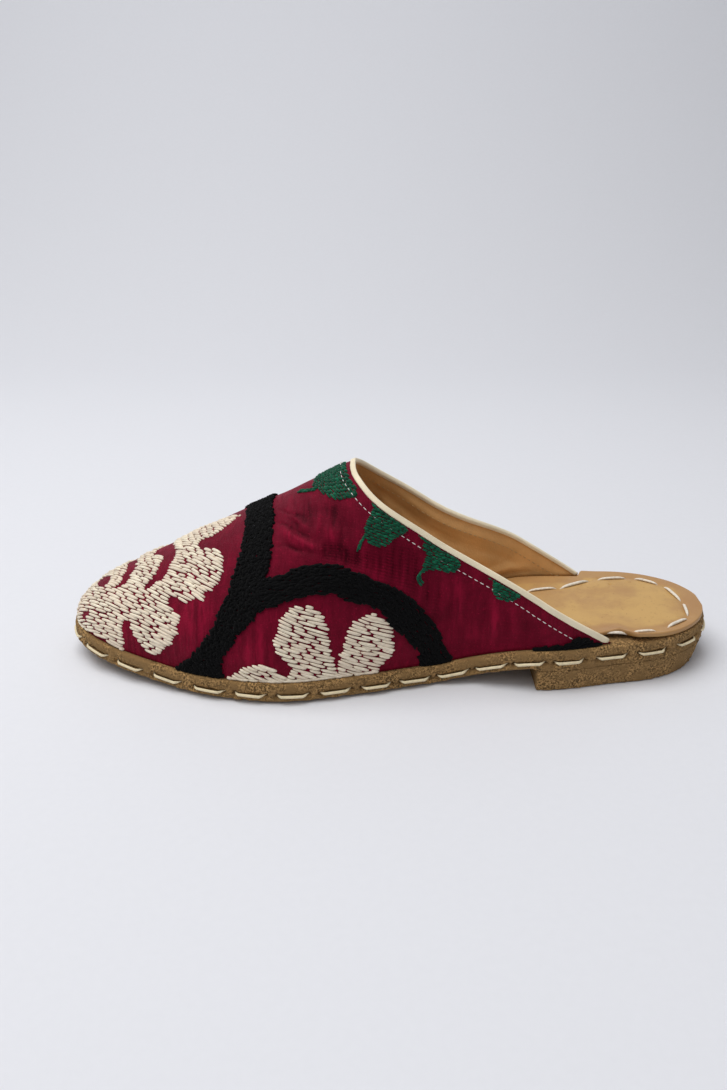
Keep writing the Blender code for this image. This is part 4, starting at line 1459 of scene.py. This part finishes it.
class MULE_OT_collar(bpy.types.Operator):
    """Fold the strip over the topline and run the machine seam below it"""

    bl_idname = "mule.collar"
    bl_label = "Collar"

    def execute(self, context):
        self.binding()
        self.seam()
        return {"FINISHED"}

    def binding(self):
        around = np.linspace(-BINDING_REACH, BINDING_REACH, BINDING_STEPS + 1)
        profile = binding_profile()
        steps = np.arange(BINDING_STEPS + 1)
        wobble = waves(0.6 * steps, 0.0 * steps, 31, 9, 22.0, 5.0)
        rings = []
        for across, depth in profile:
            reach = across * (1 + 0.10 * wobble) if across > 0 else across
            rings.append(surface_step(around, reach * np.ones_like(around), depth)[2])
        rings = np.stack(rings, axis=1)
        count, sides = rings.shape[:2]
        quads = grid_quads(count, sides, wrap=True)
        poles = rings[[0, -1]].mean(axis=1)
        ring = np.arange(sides)
        first = np.stack([np.full(sides, count * sides), np.roll(ring, -1), ring], axis=-1)
        last = (count - 1) * sides + ring
        final = np.stack([np.full(sides, count * sides + 1), last, np.roll(last, -1)], axis=-1)
        points = np.concatenate([rings.reshape(-1, 3), poles])
        mesh = make_mesh("collar_binding_leather", points, [quads, first, final])
        close_seams(mesh)
        leather = soft_leather("cream_binding", colour("binding"), 0.5, 0.6 * MM, 0.86, 0.1)
        add_piece(mesh, leather, ("collar_binding",))

    def seam(self):
        """Machine stitches as short capsules every pitch along a line below the rim."""
        pitch = sizes().machine_pitch
        share = np.abs(np.linspace(-1, 1, SEAM_STATIONS))
        below = (SEAM_DROP + SEAM_END_DROP * share**3) * MM
        travel, around, points = collar_line(below)
        run = np.concatenate([[0], np.cumsum(np.linalg.norm(np.diff(points, axis=0), axis=1))])
        starts = np.arange(0.8 * MM, run[-1] - 3 * MM, pitch)
        rings = np.linspace(0, 1, 5)
        place = starts[:, None] + SEAM_STITCH * pitch * rings[None]
        t = np.interp(place, run, travel)
        a = np.interp(place, run, around)
        arch = 1 - (2 * rings - 1) ** 2
        distance = CHART.distance(t, a)
        centre = np.stack([t[:, 2], distance[:, 2]], axis=-1)
        whole = np.interp(t[:, 2], CHART.travel, CHART.whole)
        mirror = np.stack([t[:, 2], whole - distance[:, 2]], axis=-1)
        outer_leaf, inner_leaf = (np.array(side) * MM for side in THROAT_LEAF)
        raised = inside_loop(centre, outer_leaf) | inside_loop(mirror, inner_leaf)
        lift = (0.22 * arch[None] - 0.08) * MM + 0.75 * MM * raised[:, None] * arch[None]
        centres, normals = skin_point(t, a, lift)
        half = (SEAM_HALF * (0.35 + 0.65 * arch**0.5))[None] * np.ones((len(starts), 1))
        tone = np.random.default_rng(9).uniform(0, 1, len(starts))
        cotton = twisted_thread("white_cotton_thread", linear("EDE4E0"), 0.7, 0.35 * MM)
        mesh = make_mesh("collar_seam", *tubes(centres, normals, half, half, 6, tone))
        add_piece(mesh, cotton)
        inner_height = lining_height(t, a) - (0.12 * arch[None] - 0.08) * MM
        base = last_surface(share_from_travel(t), a, 0.0)
        normals = surface_normal(t, a)
        centres = base + normals * inner_height[..., None]
        linen = twisted_thread("tan_cotton_thread", linear("C9A676"), 0.7, 0.35 * MM)
        half = 0.9 * half
        mesh = make_mesh("collar_seam_inside", *tubes(centres, -normals, half, half, 6, tone))
        add_piece(mesh, linen)


# Running stitches round the sole: centres on the outer side in millimetres from the toe,
# then every pitch round the inner side.
OUTER_STITCHES = (
    9, 27, 45, 63, 82, 99, 116, 133, 149.5, 165.5, 181, 196, 211, 227, 245, 262.5, 281, 299,
)
SOLE_PITCH = 17.3 * MM
SOLE_STITCH = 13.0 * MM
EDGE_STATIONS = 620
SPAN_STATIONS = 24


class SoleEdge:
    """The sole's outline from the toe round the outer side, heel and inner side."""

    def __init__(self):
        share = 0.5 - 0.5 * np.cos(np.linspace(0, np.pi, EDGE_STATIONS + 1))
        x = along(share)
        y = middle(share)
        width = half_width(share)
        outer = np.stack([x, y - width], axis=-1)
        inner = np.stack([x, y + width], axis=-1)
        self.loop = np.concatenate([outer, inner[-2:0:-1]])
        ahead = np.roll(self.loop, -1, axis=0)
        tangent = unit(ahead - np.roll(self.loop, 1, axis=0))
        self.normal = np.stack([tangent[:, 1], -tangent[:, 0]], axis=-1)
        steps = np.linalg.norm(ahead - self.loop, axis=1)
        self.length = steps.sum()
        self.run = np.concatenate([[0], np.cumsum(steps)[:-1]])
        outer_stitches = np.array(OUTER_STITCHES) * MM
        free = self.length - outer_stitches[-1] + outer_stitches[0]
        count = int(round(free / SOLE_PITCH))
        rest = outer_stitches[-1] + free / count * np.arange(1, count)
        self.stitches = np.concatenate([outer_stitches, rest])

    def gap(self, places):
        """Distance along the edge from every point to every place, either way round."""
        apart = np.abs(self.run[:, None] - places[None, :]) % self.length
        return np.minimum(apart, self.length - apart)

    def at(self, run):
        """Point and normal of the outline at a distance along it."""
        run = np.mod(run, self.length)
        turn = np.append(self.run, self.length)
        values = np.hstack([self.loop, self.normal])
        values = np.vstack([values, values[:1]])
        x, y, across, along_y = (np.interp(run, turn, value) for value in values.T)
        return np.stack([x, y], axis=-1), unit(np.stack([across, along_y], axis=-1))


EDGE = SoleEdge()


def edge_waves(run, seed, low, high, count):
    """Unevenness of about -1 to 1 along the closed edge: whole numbers of sine waves round it."""
    random = np.random.default_rng(seed)
    total = np.zeros_like(run)
    for _ in range(count):
        turns = random.integers(low, high)
        total += np.sin(2 * np.pi * turns * run / EDGE.length + random.uniform(0, 2 * np.pi))
    return total / math.sqrt(count)


def cut_edge(run, height, seed, coarse, fine, drift):
    """Roughness of a cut edge in millimetres: long and short waves that shift with height."""
    return (coarse * edge_waves(run + drift * height, seed, 40, 150, 14)
            + fine * edge_waves(run + 2 * drift * height, seed + 1, 160, 420, 12))


def stitch_marks():
    """Along the edge: how much a stitch presses it (0 to 1), how much the layers pinch
    together between two stitches, and how deep the hole at a stitch's end is."""
    apart = EDGE.gap(EDGE.stitches)
    nearest = apart.min(axis=1)
    press = 1 - smooth_step((nearest - 0.42 * SOLE_STITCH) / (1.6 * MM))
    pinch = smooth_step((nearest - 0.50 * SOLE_STITCH) / (1.4 * MM))
    hole = np.exp(-(((nearest - 0.5 * SOLE_STITCH) / (0.8 * MM)) ** 2))
    return press, pinch, hole


def spans(ring, columns):
    """Grid across a ring of points, from the outer side's points to the inner side's."""
    outer = ring[: EDGE_STATIONS + 1]
    inner = np.concatenate([ring[:1], ring[:EDGE_STATIONS - 1:-1]])
    t = np.linspace(0, 1, columns + 1)[None, :, None]
    return outer[:, None] * (1 - t) + inner[:, None] * t


def sole_layer(name, profile, floor, thickness, outward, upward):
    """Layer of the sole: a wall swept round the outline and a face above and below.

    A wall point is outline - normal * (inset * thickness - outward) at height rise + floor
    + height * thickness + upward, where outward and upward are small displacements.
    """
    x = EDGE.loop[:, 0]
    base = rise(share_of(x)) + floor
    rings = []
    for inset, height in profile:
        push = outward(height) - inset * thickness
        flat = EDGE.loop + EDGE.normal * push[:, None]
        level = base + height * thickness + upward(height)
        rings.append(np.column_stack([flat, level]))
    wall = np.stack(rings)
    rows, columns = wall.shape[:2]
    quads = grid_quads(rows, columns, wrap=True)
    points = [wall.reshape(-1, 3)]
    faces = [quads]
    total = rows * columns
    for ring in (wall[0], wall[-1]):
        cap = spans(ring, SPAN_STATIONS)
        points.append(cap.reshape(-1, 3))
        faces.append(grid_quads(cap.shape[0], cap.shape[1]) + total)
        total += cap.shape[0] * cap.shape[1]
    mesh = make_mesh(name, np.concatenate(points), faces)
    close_seams(mesh)
    return mesh


def fine_profile(table, steps):
    """More points along an edge profile, as (inset, height) shares."""
    at = np.linspace(0, len(table) - 1, steps)
    number = np.arange(len(table))
    inset = np.interp(at, number, column(table, 0))
    height = np.interp(at, number, column(table, 1))
    soft = np.convolve(np.pad(inset, 1, mode="edge"), [0.25, 0.5, 0.25], mode="valid")
    return list(zip(soft, height))


# The outsole's edge as worn: it curls up off the floor.
WORN_EDGE = (
    (1.5, 0.00), (0.9, 0.05), (0.5, 0.13), (0.22, 0.26), (0.06, 0.42), (0.0, 0.56), (0.0, 0.78),
    (0.14, 1.00),
)


class MULE_OT_sole(bpy.types.Operator):
    """Cut the sole's suede layers and the heel lift, pressed in by their stitches"""

    bl_idname = "mule.sole"
    bl_label = "Sole"

    def execute(self, context):
        suede = brown_suede()
        press, pinch, hole = stitch_marks()
        run = EDGE.run
        seat = smooth_step((share_of(EDGE.loop[:, 0]) - HEEL_BREAST + 0.01) / 0.012)

        def outsole_out(height):
            upper = smooth_step((height - 0.45) / 0.5)
            lower = smooth_step((0.35 - height) / 0.3)
            rough = cut_edge(run, height, 41, 0.14, 0.07, 0.002)
            shape = upper * (0.42 * pinch - 0.25 * press - 0.9 * hole)
            worn = np.interp(height, column(WORN_EDGE, 1), column(WORN_EDGE, 0)) * OUTSOLE_THICKNESS
            return (rough + shape + 0.2 * lower * seat) * MM + 0.9 * worn * seat * (height < 0.6)

        def outsole_up(height):
            sag = 0.12 * edge_waves(run, 43, 20, 120, 10)
            return (sag * (1 - abs(2 * height - 1)) + 0.25 * pinch * height**2) * MM

        def midsole_out(height):
            lower = smooth_step((0.5 - height) / 0.45)
            rough = cut_edge(run, height, 51, 0.16, 0.07, 0.002)
            shape = lower * (0.85 * pinch - 0.25 * press - 1.0 * hole)
            return (rough + shape) * MM

        def midsole_up(height):
            wave = 0.16 * edge_waves(run, 53, 20, 110, 10)
            return (wave * (1 - abs(2 * height - 1)) - 0.35 * pinch * (1 - height) ** 2) * MM

        mesh = sole_layer("outsole_suede", fine_profile(WORN_EDGE, 19), 0.0, OUTSOLE_THICKNESS,
                          outsole_out, outsole_up)
        add_piece(mesh, suede, ("outsole",))
        mesh = sole_layer("midsole_suede", fine_profile(MIDSOLE_EDGE, 17), MIDSOLE_FLOOR,
                          MIDSOLE_THICKNESS, midsole_out, midsole_up)
        add_piece(mesh, suede, ("midsole",))
        add_piece(self.heel_lift(), suede, ("heel_lift",))
        return {"FINISHED"}

    def heel_lift(self):
        """Block under the seat: walls swept round the back part of the outline, a flat
        front, and faces above and below, drawn in towards the floor."""
        steps = 260
        t = np.linspace(0, 1, steps + 1)
        share = HEEL_BREAST + (1 - HEEL_BREAST) * np.sin(0.5 * np.pi * t)
        x = along(share)
        outer = np.stack([x, middle(share) - half_width(share)], axis=-1)
        inner = np.stack([x, middle(share) + half_width(share)], axis=-1)
        loop = np.concatenate([outer, inner[-2::-1]])
        tangent = unit(np.gradient(loop, axis=0))
        normal = np.stack([tangent[:, 1], -tangent[:, 0]], axis=-1)
        normal[0] = (0, -1)
        normal[-1] = (0, 1)
        back = np.clip(normal[:, :1], 0, 1) ** 2
        taper = LIFT_SIDE_TAPER + (LIFT_BACK_TAPER - LIFT_SIDE_TAPER) * back
        run = np.concatenate([[0], np.cumsum(np.linalg.norm(np.diff(loop, axis=0), axis=1))])
        rings = []
        heights = np.linspace(0, 1, 22)
        for height in heights:
            rough = cut_edge(run, height, 61, 0.16, 0.08, 0.003)
            foot = 0.7 * np.clip(1 - height / 0.06, 0, 1) ** 2
            inward = taper * (1 - height) ** 0.8 - (rough[:, None] - foot) * MM
            ring = loop - normal * inward
            ring[0, 0] = ring[-1, 0] = along(HEEL_BREAST)
            top = rise(share_of(ring[:, 0]))
            rings.append(np.column_stack([ring, top * height]))
        wall = np.stack(rings)
        rows, columns = wall.shape[:2]
        half = steps + 1
        wide = np.linspace(0, 1, 13)
        front = wall[:, :1] * (1 - wide[None, :, None]) + wall[:, -1:] * wide[None, :, None]
        bulge = 0.25 * MM * waves(front[..., 1] / MM, front[..., 2] / MM, 63, 8, 20.0, 5.0)
        ease = np.sin(np.pi * wide)[None, :] * np.sin(np.pi * heights)[:, None]
        front[..., 0] += bulge * ease
        points = [wall.reshape(-1, 3), front.reshape(-1, 3)]
        faces = [grid_quads(rows, columns), grid_quads(rows, 13)[:, ::-1] + rows * columns]
        total = rows * columns + rows * 13
        for ring in (wall[0], wall[-1]):
            t = wide[None, :, None]
            cap = ring[:half][:, None] * (1 - t) + ring[::-1][:half][:, None] * t
            points.append(cap.reshape(-1, 3))
            faces.append(grid_quads(half, 13) + total)
            total += half * 13
        mesh = make_mesh("heel_lift_suede", np.concatenate(points), faces)
        close_seams(mesh)
        return mesh


class MULE_OT_sole_stitching(bpy.types.Operator):
    """Run the waxed thread round the groove between the sole's layers"""

    bl_idname = "mule.sole_stitching"
    bl_label = "Sole stitching"

    def execute(self, context):
        random = np.random.default_rng(8)
        thread = sizes().sole_thread
        rings = 15
        t = np.linspace(0, 1, rings)
        count = len(EDGE.stitches)
        length = SOLE_STITCH * random.uniform(0.94, 1.05, count)
        run = EDGE.stitches[:, None] + (t[None] - 0.5) * length[:, None]
        point, normal = EDGE.at(run)
        start = smooth_step(t / 0.12)
        finish = smooth_step((1 - t) / 0.22)
        out = (-1.3 + 1.65 * np.minimum(start, finish))[None] * MM
        out = out + random.uniform(-0.1, 0.15, (count, 1)) * MM
        place = point + normal * out[..., None]
        slope = random.uniform(-0.5, 0.1, (count, 1)) * (t[None] - 0.5)
        tail = 0.55 * (1 - finish) + 0.3 * (1 - start)
        level = rise(share_of(point[..., 0])) + OUTSOLE_THICKNESS + 0.5 * JOIN_GAP
        level = level + (slope + tail[None]) * MM
        centres = np.concatenate([place, level[..., None]], axis=-1)
        normals = np.concatenate([normal, np.zeros((count, rings, 1))], axis=-1)
        body = (0.35 + 0.65 * start) * (0.25 + 0.75 * finish**0.8)
        across = 0.5 * thread * body[None] * random.uniform(0.92, 1.08, (count, 1))
        up = 0.42 * thread * body[None] * np.ones((count, 1))
        tone = random.uniform(0, 1, count)
        waxed = twisted_thread("waxed_linen_thread", colour("thread"), 0.55, 1.1 * MM, 0.25)
        mesh = make_mesh("sole_stitches", *tubes(centres, normals, across, up, 10, tone))
        add_piece(mesh, waxed)
        return {"FINISHED"}


# Heel stitches of the insole as (x, y) ends in millimetres, and its small holes.
INSOLE_STITCHES = (
    ((61.0, 12.4), (74.5, 15.3)), ((76.0, 15.0), (90.3, 22.4)), ((94.2, 23.5), (107.4, 24.6)),
    ((110.8, 24.1), (119.8, 17.6)), ((121.8, 15.5), (125.0, 1.1)), ((125.2, -1.2), (123.9, -12.1)),
    ((122.9, -14.8), (112.6, -22.0)), ((107.5, -25.0), (96.8, -26.3)), ((95.0, -26.9), (84.0, -26.4)),
    ((81.0, -25.9), (69.5, -23.4)), ((57.5, 11.6), (45.0, 8.6)), ((66.0, -22.4), (54.5, -19.0)),
)
INSOLE_HOLES = ((98.6, 17.7), (74.1, -13.5), (96.0, -29.6))
INSOLE_STATIONS = 420
INSOLE_ACROSS = 110
CURL_CENTRE = 0.094
CURL_LENGTH = 0.014
CURL_REACH = 0.0065
CURL_HEIGHT = 0.0026
# Depth and half width in millimetres of the dents along its stitches and at its holes.
STITCH_DENT = (0.45, 1.5)
HOLE_DENT = (0.9, 0.55)


def insole_half_width(share, step):
    """Inside the upper at the front, stepping out to the sole's edge behind it."""
    start = INSOLE_FRONT_INSET / SOLE_LENGTH
    end = 1 - INSOLE_HEEL_INSET / SOLE_LENGTH
    quarter = smooth_step((share - QUARTER_FROM) / QUARTER_SHARE)
    heel = smooth_step((share - step[0]) / (step[1] - step[0]))
    inset = INSOLE_FRONT_INSET + (INSOLE_QUARTER_INSET - INSOLE_FRONT_INSET) * quarter
    inset = inset + (INSOLE_HEEL_INSET - inset) * heel
    toe = rounded_end((share - start) * SOLE_LENGTH, TOE_ROUND - INSOLE_FRONT_INSET, TOE_EXPONENT)
    back = (end - share) * SOLE_LENGTH
    tail = rounded_end(back, HEEL_ROUND - INSOLE_HEEL_INSET, HEEL_EXPONENT)
    return (section_value(share, 1) * BALL_WIDTH - inset) * toe * tail


def insole_lift(x, y, edge):
    """Height over the flat insole: the near edge curls up where the side ends, stitches
    press dents, and the leather is a little uneven. edge is the distance in from the rim."""
    outer = smooth_step(-y / (10 * MM))
    curl = np.exp(-(((x - CURL_CENTRE) / CURL_LENGTH) ** 2))
    lift = CURL_HEIGHT * outer * curl * np.clip(1 - edge / CURL_REACH, 0, 1) ** 2
    places = np.stack([x, y], axis=-1).reshape(-1, 2) / MM
    dents = np.zeros(len(places))
    gaps = [(distance_to_line(places, stitch)[0], *STITCH_DENT) for stitch in INSOLE_STITCHES]
    gaps += [(np.linalg.norm(places - hole, axis=1), *HOLE_DENT) for hole in INSOLE_HOLES]
    for gap, depth, half in gaps:
        dents -= depth * np.exp(-((gap / half) ** 2))
    uneven = 0.18 * waves(places[:, 0], places[:, 1], 71, 9, 36.0, 12.0)
    return lift + (dents + uneven).reshape(x.shape) * MM


def insole_top(x):
    return rise(share_of(x)) + FEATHER + INSOLE_THICKNESS


class MULE_OT_insole(bpy.types.Operator):
    """Lay the insole and sew its heel with waxed thread"""

    bl_idname = "mule.insole"
    bl_label = "Insole"

    def execute(self, context):
        self.sheet()
        self.stitches()
        return {"FINISHED"}

    def sheet(self):
        """Leather sheet: each cross-section is a closed loop, top then underside."""
        start = INSOLE_FRONT_INSET / SOLE_LENGTH
        end = 1 - INSOLE_HEEL_INSET / SOLE_LENGTH
        share = start + (end - start) * (0.5 - 0.5 * np.cos(np.linspace(0, np.pi, INSOLE_STATIONS)))
        share = share[:, None]
        across = np.sin(np.linspace(-0.5, 0.5, INSOLE_ACROSS) * np.pi)
        across = 0.35 * across + 0.65 * np.linspace(-1, 1, INSOLE_ACROSS)
        near = insole_half_width(share, INSOLE_STEP)
        far = insole_half_width(share, INSOLE_FAR_STEP)
        tip = np.minimum(share - start, end - share) * SOLE_LENGTH
        half = 0.5 * INSOLE_THICKNESS

        def face(across, way):
            """Points of the face above (way 1) or below (-1), and their distance in from the edge."""
            width = np.where(across[None] > 0, far, near)
            y = middle(share) + width * across[None]
            x = along(share) * np.ones_like(y)
            edge = np.minimum(width * (1 - np.abs(across[None])), tip)
            lift = insole_lift(x, y, edge)
            if way < 0:
                lift = np.clip(lift, 0, None)
            z = insole_top(x) - half + way * half * rounded_end(edge, 0.7 * MM, 2.0) + lift
            return np.stack([x, y, z], axis=-1), edge

        top, edge = face(across, 1)
        under, _ = face(across[::-4], -1)
        points = np.concatenate([top, under], axis=1)
        margin = 1 - smooth_step((edge - 6.5 * MM) / (3 * MM))
        margin = margin * smooth_step((top[..., 0] - 0.03) / 0.03)
        tone = np.concatenate([0.65 * margin, np.zeros(under.shape[:2])], axis=1)
        rows, columns = points.shape[:2]
        mesh = make_mesh("insole_sheet", points, [grid_quads(rows, columns, wrap=True)], None, tone)
        close_seams(mesh)
        add_piece(mesh, insole_leather(), ("insole",))

    def stitches(self):
        random = np.random.default_rng(12)
        rings = 11
        t = np.linspace(0, 1, rings)
        ends = np.array(INSOLE_STITCHES) * MM
        place = ends[:, :1] + (ends[:, 1:] - ends[:, :1]) * t[None, :, None]
        arch = 1 - np.abs(2 * t - 1) ** 4
        level = insole_top(place[..., 0]) + (-0.7 + 0.95 * arch)[None] * MM
        centres = np.concatenate([place, level[..., None]], axis=-1)
        normals = np.zeros_like(centres)
        normals[..., 2] = 1
        body = 0.3 + 0.7 * (1 - np.abs(2 * t - 1) ** 4)
        across = 0.75 * MM * body[None] * random.uniform(0.85, 1.1, (len(ends), 1))
        tone = random.uniform(0, 1, len(ends))
        waxed = twisted_thread("white_waxed_thread", linear("EFE6D6"), 0.5, 1.0 * MM)
        mesh = make_mesh("insole_stitches", *tubes(centres, normals, across, 0.75 * across, 8, tone))
        add_piece(mesh, waxed)


# Camera, fitted to the photograph: place, turn in degrees and focal length for a 36 mm frame.
CAMERA_PLACE = (-0.00875, -0.36567, 0.20497)
CAMERA_DOWN = 23.34
CAMERA_TURN = -0.258
CAMERA_ROLL = -0.17
CAMERA_LENS = 31.68
PAPER_BEND_START = 0.50
PAPER_BEND = 0.55
PAPER_HALF_WIDTH = 2.2
PAPER_FRONT = -1.6
PAPER_TOP = 1.9
# Square soft sources: name, place, side in metres and power in watts; then where they aim,
# their slightly warm colour, and the studio's own cooler light.
SOFTBOXES = (
    ("overhead_softbox", (-0.32, 0.00, 1.15), 1.0, 11.6),
    ("front_fill", (-0.50, -0.80, 1.20), 0.9, 1.9),
)
LAMP_AIM = (0.0, 0.0, 0.03)
LAMP_COLOUR = (1.0, 0.995, 0.985)
AIR_COLOUR = (0.95, 0.965, 1.0, 1)
AIR_STRENGTH = 0.31


class MULE_OT_stage(bpy.types.Operator):
    """Set the paper sweep, the soft lights and the camera"""

    bl_idname = "mule.stage"
    bl_label = "Stage"

    def execute(self, context):
        self.paper()
        self.camera(context)
        self.lights(context)
        return {"FINISHED"}

    def paper(self):
        """Floor that turns up behind the shoe along a quarter circle."""
        turn = np.linspace(0, np.pi / 2, 25)
        y = np.concatenate([[PAPER_FRONT, 0.0], PAPER_BEND_START + PAPER_BEND * np.sin(turn),
                            [PAPER_BEND_START + PAPER_BEND]])
        z = np.concatenate([[0, 0], PAPER_BEND * (1 - np.cos(turn)), [PAPER_TOP]])
        x = np.linspace(-PAPER_HALF_WIDTH, PAPER_HALF_WIDTH, 9)
        grid = np.stack([np.broadcast_to(x[:, None], (9, len(y))), np.broadcast_to(y, (9, len(y))),
                         np.broadcast_to(z, (9, len(y)))], axis=-1)
        mesh = make_mesh("studio_floor", grid, [grid_quads(9, len(y))])
        mesh.materials.append(studio_paper())
        floor = bpy.data.objects.new("studio_floor", mesh)
        bpy.context.scene.collection.objects.link(floor)

    def camera(self, context):
        down, turn, roll = (math.radians(v) for v in (CAMERA_DOWN, CAMERA_TURN, CAMERA_ROLL))
        level = math.cos(down)
        ahead = Vector((math.sin(turn) * level, math.cos(turn) * level, -math.sin(down)))
        right = Vector((math.cos(turn), -math.sin(turn), 0))
        up = right.cross(ahead)
        across = math.cos(roll) * right + math.sin(roll) * up
        upward = -math.sin(roll) * right + math.cos(roll) * up
        data = bpy.data.cameras.new("photo_camera")
        data.lens = CAMERA_LENS
        data.clip_start = 0.01
        camera = bpy.data.objects.new("photo_camera", data)
        view = Matrix((across, upward, -ahead)).transposed().to_4x4()
        camera.matrix_world = Matrix.Translation(CAMERA_PLACE) @ view
        context.scene.collection.objects.link(camera)
        context.scene.camera = camera

    def lights(self, context):
        """Large soft source over the shoe, and a weak one in front of it."""
        for name, place, size, power in SOFTBOXES:
            self.softbox(name, place, size, power)
        world = bpy.data.worlds.new("studio_air")
        world.use_nodes = True
        air = world.node_tree.nodes["Background"]
        air.inputs["Color"].default_value = AIR_COLOUR
        air.inputs["Strength"].default_value = AIR_STRENGTH
        context.scene.world = world
        context.scene.view_settings.view_transform = "Standard"

    def softbox(self, name, place, size, power):
        data = bpy.data.lights.new(name, "AREA")
        data.shape = "SQUARE"
        data.size = size
        data.energy = power
        data.color = LAMP_COLOUR
        light = bpy.data.objects.new(name, data)
        light.location = place
        aim = Vector(LAMP_AIM) - Vector(place)
        light.rotation_euler = aim.to_track_quat("-Z", "Y").to_euler()
        bpy.context.scene.collection.objects.link(light)


class VIEW3D_PT_mule(bpy.types.Panel):
    """Lists the shoe's sizes, colours and pieces"""

    bl_label = "Mule"
    bl_idname = "VIEW3D_PT_mule"
    bl_space_type = "VIEW_3D"
    bl_region_type = "UI"
    bl_category = "Mule"

    def draw(self, context):
        layout = self.layout
        for group in (context.scene.mule_sizes, context.scene.mule_colours):
            box = layout.box()
            for name in group.bl_rna.properties.keys():
                if name not in ("rna_type", "name"):
                    box.prop(group, name)
        for operator in OPERATORS:
            layout.operator(operator.bl_idname)


OPERATORS = (
    MULE_OT_stage,
    MULE_OT_sole,
    MULE_OT_sole_stitching,
    MULE_OT_insole,
    MULE_OT_upper,
    MULE_OT_collar,
    MULE_OT_cream_embroidery,
    MULE_OT_black_embroidery,
    MULE_OT_green_embroidery,
)
CLASSES = (MuleSizes, MuleColours) + OPERATORS + (VIEW3D_PT_mule,)


def register():
    for item in CLASSES:
        bpy.utils.register_class(item)
    bpy.types.Scene.mule_sizes = bpy.props.PointerProperty(type=MuleSizes)
    bpy.types.Scene.mule_colours = bpy.props.PointerProperty(type=MuleColours)


def unregister():
    del bpy.types.Scene.mule_colours
    del bpy.types.Scene.mule_sizes
    for item in reversed(CLASSES):
        bpy.utils.unregister_class(item)


def main():
    register()
    bpy.ops.mule.stage()
    bpy.ops.mule.sole()
    bpy.ops.mule.sole_stitching()
    bpy.ops.mule.insole()
    bpy.ops.mule.upper()
    bpy.ops.mule.collar()
    bpy.ops.mule.cream_embroidery()
    bpy.ops.mule.black_embroidery()
    bpy.ops.mule.green_embroidery()


if __name__ == "__main__":
    main()
